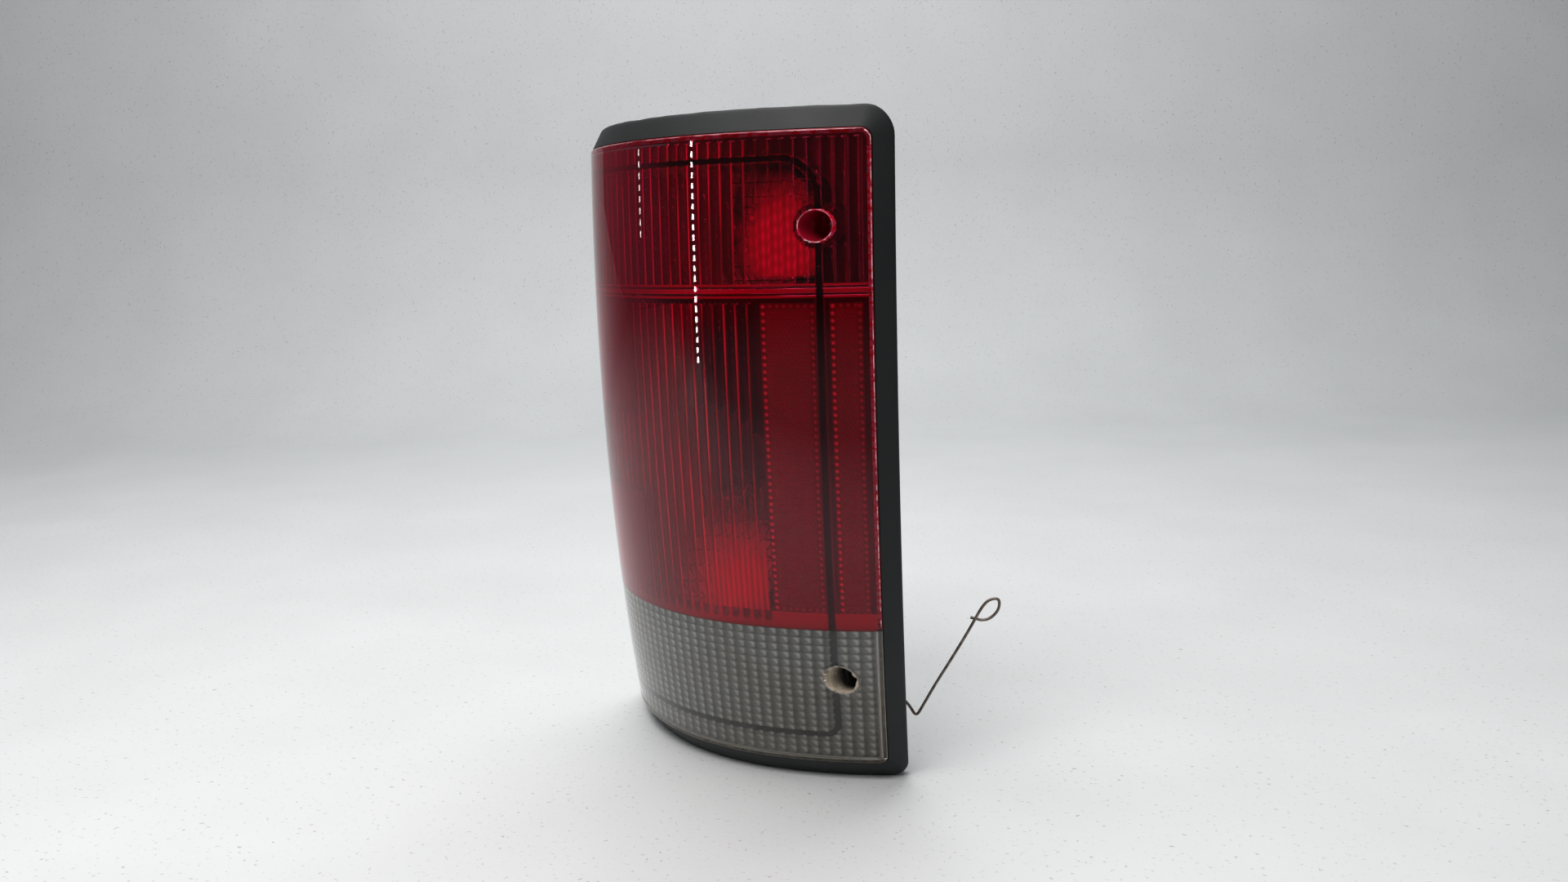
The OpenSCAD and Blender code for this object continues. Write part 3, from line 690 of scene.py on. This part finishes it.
def ramp(tree, value, stops):
    made = tree.nodes.new("ShaderNodeValToRGB")
    ends = made.color_ramp.elements
    while len(ends) < len(stops):
        ends.new(0.5)
    for element, (place, colour) in zip(ends, stops):
        element.position = place
        element.color = (*colour, 1) if len(colour) == 3 else colour
    tree.links.new(value, made.inputs["Fac"])
    return made.outputs["Color"]


def to_range(tree, value, low, high, from_low=0.0, from_high=1.0):
    made = tree.nodes.new("ShaderNodeMapRange")
    made.inputs["From Min"].default_value = from_low
    made.inputs["From Max"].default_value = from_high
    made.inputs["To Min"].default_value = low
    made.inputs["To Max"].default_value = high
    tree.links.new(value, made.inputs["Value"])
    return made.outputs["Result"]


def mixed(tree, share, a, b, mode="MIX"):
    made = tree.nodes.new("ShaderNodeMix")
    made.data_type = "RGBA"
    made.blend_type = mode
    for key, value in (("Factor", share), ("A", a), ("B", b)):
        socket = made.inputs[key]
        if hasattr(value, "is_output"):
            tree.links.new(value, socket)
        elif isinstance(value, tuple):
            socket.default_value = (*value, 1)
        else:
            socket.default_value = value
    return made.outputs["Result"]


def bump(tree, shader, height, strength, distance):
    made = tree.nodes.new("ShaderNodeBump")
    made.inputs["Strength"].default_value = strength
    made.inputs["Distance"].default_value = distance
    tree.links.new(height, made.inputs["Height"])
    tree.links.new(made.outputs[0], shader.inputs["Normal"])


def looks(tree):
    """The cloudiness, bright line (painted highlights and painted glow), tone (painted shade and
    the sealant's dark) and painted edge reflection or broken plastic that a mesh's points carry.
    """
    split = tree.nodes.new("ShaderNodeSeparateColor")
    carried = tree.nodes.new("ShaderNodeAttribute")
    carried.attribute_name = "look"
    tree.links.new(carried.outputs["Color"], split.inputs[0])
    return *split.outputs, carried.outputs["Alpha"]


def combined(tree, operation, a, b):
    made = tree.nodes.new("ShaderNodeMath")
    made.operation = operation
    for socket, value in zip(made.inputs, (a, b)):
        if hasattr(value, "is_output"):
            tree.links.new(value, socket)
        else:
            socket.default_value = value
    return made.outputs[0]


def red_acrylic():
    material, tree, shader = new_material("red_acrylic")
    set_shader(shader, IOR=1.41, Specular_IOR_Level=0.15, Specular_Tint=(1, 0.8, 0.83, 1))
    cloud, line, tone, sheen_and_wear = looks(tree)
    haze = noise_of(tree, 9, 6)
    body = mixed(tree, haze, (0.98, 0.05, 0.17), (0.92, 0.03, 0.14))
    body = mixed(tree, to_range(tree, cloud, 0.0, 1.0, 0.0, 0.5), body, (0.66, 0.01, 0.04))
    # Tone darkens the red: this paints the shade across the flutes, round the corner, in the well
    # and below the shelf; beyond 1 it darkens to the sealant's near-black.
    body = mixed(tree, to_range(tree, tone, 0.0, 0.75, 0.45, 1.0), body, (0.30, 0.006, 0.02))
    body = mixed(tree, to_range(tree, tone, 0.0, 1.0, 1.0, 1.6), body, (0.012, 0.001, 0.002))
    # Bright red of the lines: the painted highlight lines, the painted glow and the brighter bands.
    body = mixed(tree, line, body, (1.0, 0.02, 0.14))
    # Whitish painted reflection along the rounded edge, dotted by noise.
    spots = to_range(tree, noise_of(tree, 330, 1, (0.4, 0.4, 1)), 0.0, 1.0, 0.40, 0.58)
    sheen_and_wear = combined(tree, "MULTIPLY", sheen_and_wear, spots)
    tree.links.new(mixed(tree, sheen_and_wear, body, (1.0, 0.86, 0.88)), shader.inputs["Base Color"])
    solid = combined(tree, "MAXIMUM", cloud, sheen_and_wear)
    tree.links.new(to_range(tree, solid, 1.0, 0.0), shader.inputs["Transmission Weight"])
    scuffs = noise_of(tree, 160, 3, (1, 1, 0.25))
    tree.links.new(to_range(tree, scuffs, 0.0, 0.05, 0.5, 0.85), shader.inputs["Roughness"])
    return material


def clear_acrylic():
    material, tree, shader = new_material("clear_acrylic")
    set_shader(shader, IOR=1.46)
    cloud, line, tone, sheen_and_wear = looks(tree)
    dirt = noise_of(tree, 14, 6)
    dirt = to_range(tree, dirt, 0, 1, 0.35, 0.7)
    body = mixed(tree, dirt, (0.56, 0.57, 0.56), (0.48, 0.44, 0.38))
    # Tone darkens towards painted shade at the pillows' seams and lower, outer corners, and towards
    # the sealant's dark at the bond.
    body = mixed(tree, to_range(tree, tone, 0.0, 0.9, 0.5, 1.0), body, (0.10, 0.10, 0.10))
    body = mixed(tree, to_range(tree, tone, 0.0, 1.0, 1.0, 1.6), body, (0.02, 0.018, 0.016))
    # Painted crescent highlights.
    body = mixed(tree, line, body, (1.0, 0.99, 0.96))
    # Colour of the lower well's broken rim, which also paints the light lines along the clear
    # lens's rounded edge and groove.
    breaks_and_sheen = mixed(tree, noise_of(tree, 260, 3), (0.80, 0.72, 0.58), (0.22, 0.13, 0.08))
    tree.links.new(mixed(tree, sheen_and_wear, body, breaks_and_sheen), shader.inputs["Base Color"])
    solid = combined(tree, "MAXIMUM", cloud, sheen_and_wear)
    tree.links.new(to_range(tree, solid, 1.0, 0.0), shader.inputs["Transmission Weight"])
    scuffs = noise_of(tree, 140, 3)
    tree.links.new(to_range(tree, scuffs, 0.02, 0.12, 0.45, 0.85), shader.inputs["Roughness"])
    return material


def reflex_material():
    material, tree, shader = new_material("reflex_red")
    set_shader(shader, IOR=1.46, Specular_IOR_Level=0.2)
    _, line, tone, _ = looks(tree)
    patches = noise_of(tree, 22, 5)
    body = mixed(tree, patches, (0.17, 0.012, 0.08), (0.26, 0.02, 0.12))
    body = mixed(tree, tone, body, (0.05, 0.004, 0.02))
    # Painted highlights on the beads.
    tree.links.new(mixed(tree, line, body, (1.0, 0.45, 0.55)), shader.inputs["Base Color"])
    tree.links.new(to_range(tree, patches, 0.35, 0.5), shader.inputs["Roughness"])
    return material


def lit_patch(tree, centre, half, soft):
    """1 inside a soft-edged box of x and z, in metres, and 0 outside it."""
    place = tree.nodes.new("ShaderNodeTexCoord")
    split = tree.nodes.new("ShaderNodeSeparateXYZ")
    tree.links.new(place.outputs["Object"], split.inputs[0])
    shares = []
    for socket, middle, reach in zip(("X", "Z"), centre, half):
        off = combined(tree, "SUBTRACT", split.outputs[socket], middle)
        off = combined(tree, "ABSOLUTE", off, 0)
        shares.append(to_range(tree, off, 1.0, 0.0, reach - soft, reach + soft))
    return combined(tree, "MULTIPLY", *shares), split.outputs["Y"]


FACET_WIDTH, FACET_HEIGHT, FACET_GAP = 0.0068, 0.0085, 0.0006


def facets(tree):
    """The painted brightness of the small mirror facets that a bowl is pressed with: painted
    highlights on some facets, painted shade on others.
    """
    place = tree.nodes.new("ShaderNodeTexCoord")
    turn = tree.nodes.new("ShaderNodeMapping")
    turn.inputs["Rotation"].default_value = (math.radians(90), 0, 0)
    made = tree.nodes.new("ShaderNodeTexBrick")
    made.offset = 0.0
    for key, value in (("Scale", 1.0), ("Brick Width", FACET_WIDTH), ("Row Height", FACET_HEIGHT),
                       ("Mortar Size", FACET_GAP), ("Mortar Smooth", 0.4)):
        made.inputs[key].default_value = value
    for key, shade in (("Color1", 1.0), ("Color2", 0.55), ("Mortar", 0.12)):
        made.inputs[key].default_value = (shade, shade, shade, 1)
    tree.links.new(place.outputs["Object"], turn.inputs["Vector"])
    tree.links.new(turn.outputs[0], made.inputs["Vector"])
    return made.outputs["Color"]


def silver_with_painted_light(name, dark, bright, patches, inside=None):
    """Dull inside a lamp, with painted light: bright, faceted patches painted where light shows in
    the bowls and the tub. inside is the row-frame y that the bright part lies in front of."""
    material, tree, shader = new_material(name)
    share = None
    for centre, half, soft in patches:
        patch, depth = lit_patch(tree, centre, half, soft)
        share = patch if share is None else combined(tree, "MAXIMUM", share, patch)
    if inside is not None:
        front = to_range(tree, depth, 1.0, 0.0, inside - 0.0005, inside)
        share = combined(tree, "MULTIPLY", share, front)
    painted_bright = mixed(tree, 1.0, bright, facets(tree), "MULTIPLY")
    grime = noise_of(tree, 40, 5)
    dull = mixed(tree, grime, dark, tuple(1.6 * c for c in dark))
    tree.links.new(mixed(tree, share, dull, painted_bright), shader.inputs["Base Color"])
    tree.links.new(to_range(tree, grime, 0.32, 0.55), shader.inputs["Roughness"])
    bump(tree, shader, noise_of(tree, 700, 2), 0.25, 0.0001)
    return material


def grained(name, dark, light, rough, grain=900.0, depth=0.00012, patch=14.0, **values):
    """A moulded or rubber surface: patches of colour, uneven gloss and a fine grain."""
    material, tree, shader = new_material(name)
    set_shader(shader, **values)
    patches = noise_of(tree, patch, 6)
    tree.links.new(ramp(tree, patches, ((0.35, dark), (0.7, light))), shader.inputs["Base Color"])
    tree.links.new(to_range(tree, patches, *rough, 0.3, 0.75), shader.inputs["Roughness"])
    bump(tree, shader, noise_of(tree, grain, 2), 0.35, depth)
    return material


def metal(name, dark, light, rough, stretch=(1, 1, 1), scale=120.0):
    material, tree, shader = new_material(name)
    set_shader(shader, Metallic=1.0)
    streaks = noise_of(tree, scale, 4, stretch)
    tree.links.new(ramp(tree, streaks, ((0.35, dark), (0.65, light))), shader.inputs["Base Color"])
    tree.links.new(to_range(tree, streaks, *rough, 0.3, 0.7), shader.inputs["Roughness"])
    bump(tree, shader, streaks, 0.15, 0.00005)
    return material


def bulb_glass():
    material, tree, shader = new_material("bulb_glass")
    set_shader(shader, IOR=1.45, Transmission_Weight=1.0)
    haze, patches = noise_of(tree, 60), noise_of(tree, 30)
    tree.links.new(to_range(tree, haze, 0.0, 0.05, 0.4, 0.8), shader.inputs["Roughness"])
    tint = ramp(tree, patches, ((0.3, (0.95, 0.97, 0.97)), (0.8, (0.86, 0.88, 0.88))))
    tree.links.new(tint, shader.inputs["Base Color"])
    return material


def clothe(node, material):
    """Gives a CAD node its finish, and leaves its shape alone."""
    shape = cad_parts[node]
    shape.data.materials.clear()
    shape.data.materials.append(material)


# Painted bright patches of light on the bowls and the tub: (x, z) of the middle, half the size, and
# the softness of the edge
STOP_PATCH = ((0.066, 0.3525), (0.036, 0.033), 0.004)
TAIL_PATCH = ((0.020, 0.136), (0.034, 0.026), 0.012)
REVERSE_PATCH = ((0.0, 0.060), (0.115, 0.046), 0.004)
PATCHES = (STOP_PATCH, TAIL_PATCH, REVERSE_PATCH)
TUB_PATCH_Y = -0.006         # the tub is bright only in front of this


def clothe_cad():
    tub = silver_with_painted_light("tub_plastic", (0.022, 0.022, 0.023), (0.85, 0.85, 0.86), PATCHES,
                   inside=TUB_PATCH_Y)
    sealant = grained("sealant", (0.006, 0.006, 0.006), (0.012, 0.012, 0.012), (0.3, 0.5))
    bowl = silver_with_painted_light("metallised", (0.055, 0.055, 0.058), (0.95, 0.95, 0.96), PATCHES)
    steel = metal("zinc_plate", (0.45, 0.45, 0.43), (0.68, 0.68, 0.69), (0.25, 0.45))
    brass = metal("brass", (0.6, 0.42, 0.16), (0.83, 0.62, 0.28), (0.2, 0.4))
    wire = metal("lamp_wire", (0.4, 0.4, 0.4), (0.62, 0.6, 0.58), (0.2, 0.4))
    socket = grained("socket_plastic", (0.06, 0.06, 0.062), (0.10, 0.10, 0.102), (0.38, 0.55))
    seal = grained("seal_rubber", (0.012, 0.012, 0.012), (0.022, 0.022, 0.022), (0.55, 0.75))
    base = grained("bulb_base", (0.62, 0.60, 0.54), (0.74, 0.72, 0.66), (0.4, 0.55))
    glass = bulb_glass()
    clothe("housing", tub)
    clothe("lens_bond", sealant)
    clothe("guide_pins", steel)
    clothe("breather_cap", seal)
    for lamp in LAMPS:
        clothe(lamp + "_reflector", bowl)
        clothe(lamp + "_socket", socket)
        clothe(lamp + "_socket_seal", seal)
        clothe(lamp + "_contacts", brass)
        clothe(lamp + "_bulb_glass", glass)
        clothe(lamp + "_bulb_base", base)
        clothe(lamp + "_filament", wire)


# ---------------------------------------------------------------- reflex panels

PANEL_FRONT, PANEL_BACK = 2.95, 4.7
HONEYCOMB, BEAD_PITCH, BEAD_LINE, BEAD_R = 2.6, 4.2, 1.7, 1.4
PRISM_DEPTH = 0.8
REAR_PITCH, SIDE_PITCH = 0.62, 0.75      # of the mesh of a panel


def hex_share(s, z, pitch):
    """0 at the middle of a honeycomb cell and 1 at its edge."""
    best = 9.0
    height = pitch * math.sqrt(3)
    for shift in (0.0, 0.5):
        x = ((s / pitch + shift) % 1.0 - 0.5) * pitch
        y = ((z / height + shift) % 1.0 - 0.5) * height
        reach = max(abs(x), abs(x / 2 + y * math.sqrt(3) / 2), abs(x / 2 - y * math.sqrt(3) / 2))
        best = min(best, reach / (pitch / 2))
    return min(1.0, best)


def bead_share(s, z, limits):
    """1 at the middle of one of the beads that run round a panel, and 0 between them."""
    s_low, s_high, z_low, z_high = limits
    best = 0.0
    for off, along, share in (
            (s_high - s, z, 1.0), (s - s_low, z, 0.35), (z - z_low, s, 0.3), (z_high - z, s, 0.3)):
        step = ((along / BEAD_PITCH) % 1.0 - 0.5) * BEAD_PITCH
        near = min(1.0, 1.7 * (1 - math.hypot(off - BEAD_LINE, step) / BEAD_R))
        best = max(best, share * near)
    return best


def framed_prisms(s, z, limits):
    """Depth and look of a rear panel: honeycomb prisms inside a border of beads, which carry a
    painted highlight.
    """
    bead = bead_share(s, z, limits)
    edge = min(s - limits[0], limits[1] - s, z - limits[2], limits[3] - z)
    if edge < 2 * BEAD_LINE:
        return PRISM_DEPTH * (0.8 - 0.8 * max(0.0, bead)), (0.0, max(0.0, bead), 0.5)
    share = hex_share(s, z, HONEYCOMB)
    return PRISM_DEPTH * (1 - share), (0.0, 0.0, 0.35 * soft_step(share, 0.7, 1.0))


def slanted_prisms(s, z, limits):
    """Depth and look of a side panel: fine slanting ridges."""
    wave = abs(((s * 0.8 + z) / HONEYCOMB) % 1.0 - 0.5) * 2
    return PRISM_DEPTH * wave, (0.0, 0.02 * wave, 1 - 0.35 * wave)


def make_panel(name, node, limits, prisms, pitch, material):
    mesh = bmesh.new()
    layer = mesh.verts.layers.float_color.new("look")
    s_low, s_high, z_low, z_high = limits
    s_values, z_values = ladder(s_low, s_high, pitch), ladder(z_low, z_high, pitch)
    front, back = [], []
    for z in z_values:
        rows = [], []
        for s in s_values:
            depth, look = prisms(s, z, limits)
            edge = s in (s_low, s_high) or z in (z_low, z_high)
            for row, at in zip(rows, (PANEL_FRONT + (0.0 if edge else depth), PANEL_BACK)):
                vert = mesh.verts.new(on_lens(s, z, at))
                vert[layer] = (*look, 0.0)
                row.append(vert)
        front.append(rows[0])
        back.append(rows[1])
    for grid in (front, back):
        for a, b in zip(grid, grid[1:]):
            bridge(mesh, a, b)
    for k in (0, -1):
        bridge(mesh, front[k], back[k])
        bridge(mesh, [row[k] for row in front], [row[k] for row in back])
    bmesh.ops.recalc_face_normals(mesh, faces=mesh.faces)
    finish_piece(add_object(name, mesh), material, "red_reflex", "lamp", node)


def make_panels():
    low, high = MIDDLE
    red = reflex_material()
    make_panel("wide_reflex", "reflex_rear_wide", (*WIDE_PANEL, low, high), framed_prisms,
               REAR_PITCH, red)
    make_panel("narrow_reflex", "reflex_rear_narrow", (*NARROW_PANEL, low - 2, high),
               framed_prisms, REAR_PITCH, red)
    make_panel("upper_side_reflex", "reflex_side_upper", UPPER_SIDE_PANEL, slanted_prisms,
               SIDE_PITCH, red)
    make_panel("lower_side_reflex", "reflex_side_lower", LOWER_SIDE_PANEL, slanted_prisms,
               SIDE_PITCH, red)


# ---------------------------------------------------------------- surround

SURROUND = 13.5
SECTION = (      # out from the lens's edge, depth
    (0.5, 1.2), (4.5, 3.1), (8.5, 5.1), (11.6, 6.6), (12.6, 7.25), (13.2, 8.0), (13.5, 9.0),
    (13.5, 13.0), (13.5, 17.0), (12.6, 18.0), (4.0, 18.0), (-3.0, 18.0), (-3.0, 11.8), (1.4, 11.8),
)
EDGE_RADII = (7.0, 6.0, 1.0, 1.0)
RIM_RADII = (18.0, 11.0, 11.0, 18.0)
CORNER_STEPS, SIDE_STEPS = 12, 60


def outline(out, radii):
    """Points (s, z) round the lens, out from its edge, from the inner top corner downwards."""
    corners = []
    for k, r in enumerate(radii):
        s = r - out if k < 2 else LENGTH + out - r
        z = HEIGHT + out - r if k in (0, 3) else r - out
        arc = [math.radians(90 - 90 * k - 90 * j / CORNER_STEPS) for j in range(CORNER_STEPS + 1)]
        corners.append([(s - r * math.cos(a), z + r * math.sin(a)) for a in arc])
    points = []
    for k, corner in enumerate(corners):
        points += corner
        (s0, z0), (s1, z1) = corner[-1], corners[(k + 1) % 4][0]
        points += [(s0 + (s1 - s0) * j / SIDE_STEPS, z0 + (z1 - z0) * j / SIDE_STEPS)
                   for j in range(1, SIDE_STEPS)]
    return points


def make_surround():
    edge, rim = outline(0.0, EDGE_RADII), outline(SURROUND, RIM_RADII)
    mesh = bmesh.new()
    rings = []
    for (s0, z0), (s1, z1) in zip(edge, rim):
        ring = []
        for out, depth in SECTION:
            share = out / SURROUND
            s, z = s0 + (s1 - s0) * share, z0 + (z1 - z0) * share
            base = on_lens(s, z, depth)
            worn = 0.9 if z > HEIGHT else 0.45
            wave = noise.noise(Vector((s / 14, z / 14, 0.3))) * worn * max(0.0, share - 0.3)
            fine = noise.noise(Vector((s / 3.1, z / 3.1, depth / 4))) * 0.18 * max(0.0, share)
            point = base - lens_normal(s, z) * (wave + fine) * MM * 0.6
            if out > 5:
                point.z += (wave + fine) * MM * (0.9 if z > HEIGHT else 0.25)
            point.z = max(point.z, 0.0)
            ring.append(mesh.verts.new(point))
        rings.append(ring)
    close_rings(mesh, rings)
    bmesh.ops.recalc_face_normals(mesh, faces=mesh.faces)
    rubber = grained("surround_rubber", (0.006, 0.0075, 0.008), (0.013, 0.0145, 0.015), (0.5, 0.75),
                     grain=520.0, depth=0.0002, patch=9.0, Specular_IOR_Level=0.3)
    finish_piece(add_object("surround_ring", mesh, sharp=50), rubber, "black_rubber", "lamp",
                 "surround")


# ---------------------------------------------------------------- wire

WIRE_R, WIRE_PLANE = 1.0, 100.0
WIRE_MOUTH, WIRE_SEAT = (0.7, 39.3, 0.0), 14.5
WIRE_BENDS = (     # across the vehicle, up, and behind the wire's plane
    (9.2, 29.5, 0), (12.4, 25.8, 0), (16.4, 18.6, 0), (21.4, 27.6, 0), (29.9, 42.8, 0),
    (40.8, 60.5, 0), (52, 79.8, 0), (60, 95, 0), (65, 99.6, 0.6), (71.4, 99.8, 1.4),
    (70.6, 91, 2.2), (62.5, 84, 2.6), (52.3, 86.5, 2.6),
)


def eased(points, times):
    """Rounds a path by cutting its corners."""
    for _ in range(times):
        cut = [points[0]]
        for a, b in zip(points, points[1:]):
            cut += [a.lerp(b, 0.25), a.lerp(b, 0.75)]
        points = cut + [points[-1]]
    return points


def make_wire():
    bends = [turned(x, WIRE_PLANE + back, z) for x, z, back in WIRE_BENDS]
    mouth = turned(WIRE_MOUTH[0], WIRE_PLANE + WIRE_MOUTH[2], WIRE_MOUTH[1])
    stub = mouth + (mouth - bends[0]).normalized() * WIRE_SEAT * MM
    points = [stub, mouth, *eased(bends, 3)]
    data = bpy.data.curves.new("wire", "CURVE")
    data.dimensions = "3D"
    data.bevel_depth = (WIRE_R - 0.04) * MM
    data.bevel_resolution = 5
    data.use_fill_caps = True
    line = data.splines.new("POLY")
    line.points.add(len(points) - 1)
    for spot, point in zip(line.points, points):
        spot.co = (*point, 1)
    wire = bpy.data.objects.new("bent_wire", data)
    bpy.context.scene.collection.objects.link(wire)
    steel = metal("tarnished_wire", (0.10, 0.075, 0.06), (0.27, 0.23, 0.2), (0.4, 0.65),
                  scale=220.0)
    finish_piece(wire, steel, "rusty_wire", "wire", "wire_hook")


# ---------------------------------------------------------------- stage

# Distances from below the camera, in metres, along its view
FLOOR_FROM, FLOOR_TO, SHADE_TO, PALE_FROM = -3.0, 2.4, 0.22, 0.56
COVE_R, WALL_HEIGHT = 0.5, 2.6
FLOOR_HALF, WALL_LEFT = 4.0, 2.0


def make_stage():
    """A pale floor that curves up into a wall. Its colour darkens into painted shade on the near
    side.
    """
    mesh = bmesh.new()
    profile = [(FLOOR_FROM, 0.0)]
    profile += [(FLOOR_TO + COVE_R * math.sin(a), COVE_R - COVE_R * math.cos(a))
                for a in (math.radians(9 * k) for k in range(11))]
    profile += [(FLOOR_TO + COVE_R, WALL_HEIGHT)]
    away = Vector((math.sin(CAMERA_YAW), math.cos(CAMERA_YAW), 0))
    side = Vector((away.y, -away.x, 0))
    below = Vector((CAMERA_AT.x, CAMERA_AT.y, 0))
    rows = []
    for run, up in profile:
        left = (FLOOR_HALF - WALL_LEFT) * min(1.0, up / COVE_R) - FLOOR_HALF
        rows.append([mesh.verts.new(below + away * run + side * across + Vector((0, 0, up)))
                     for across in (left, FLOOR_HALF)])
    for a, b in zip(rows, rows[1:]):
        bridge(mesh, a, b)
    floor = add_object("floor", mesh)
    material, tree, shader = new_material("pale_floor")
    speckle = noise_of(tree, 260, 4)
    patches = noise_of(tree, 5, 6)
    pale = mixed(tree, patches, (0.60, 0.61, 0.62), (0.70, 0.71, 0.72))
    pale = mixed(tree, to_range(tree, speckle, 0, 1, 0.62, 0.72), pale, (0.42, 0.40, 0.38))
    place = tree.nodes.new("ShaderNodeTexCoord")
    reach = tree.nodes.new("ShaderNodeVectorMath")
    reach.operation = "DOT_PRODUCT"
    reach.inputs[1].default_value = away
    tree.links.new(place.outputs["Object"], reach.inputs[0])
    start = away.dot(CAMERA_AT)
    # Painted shade on the floor near the camera.
    near = to_range(tree, reach.outputs["Value"], 1.0, 0.0, start + SHADE_TO, start + PALE_FROM)
    tree.links.new(mixed(tree, near, pale, (0.20, 0.20, 0.21)), shader.inputs["Base Color"])
    tree.links.new(to_range(tree, patches, 0.6, 0.8), shader.inputs["Roughness"])
    bump(tree, shader, speckle, 0.3, 0.0005)
    floor.data.materials.append(material)


def main():
    make_camera()
    make_light()
    make_stage()
    clothe_cad()
    make_lenses()
    make_panels()
    make_surround()
    make_wire()


main()
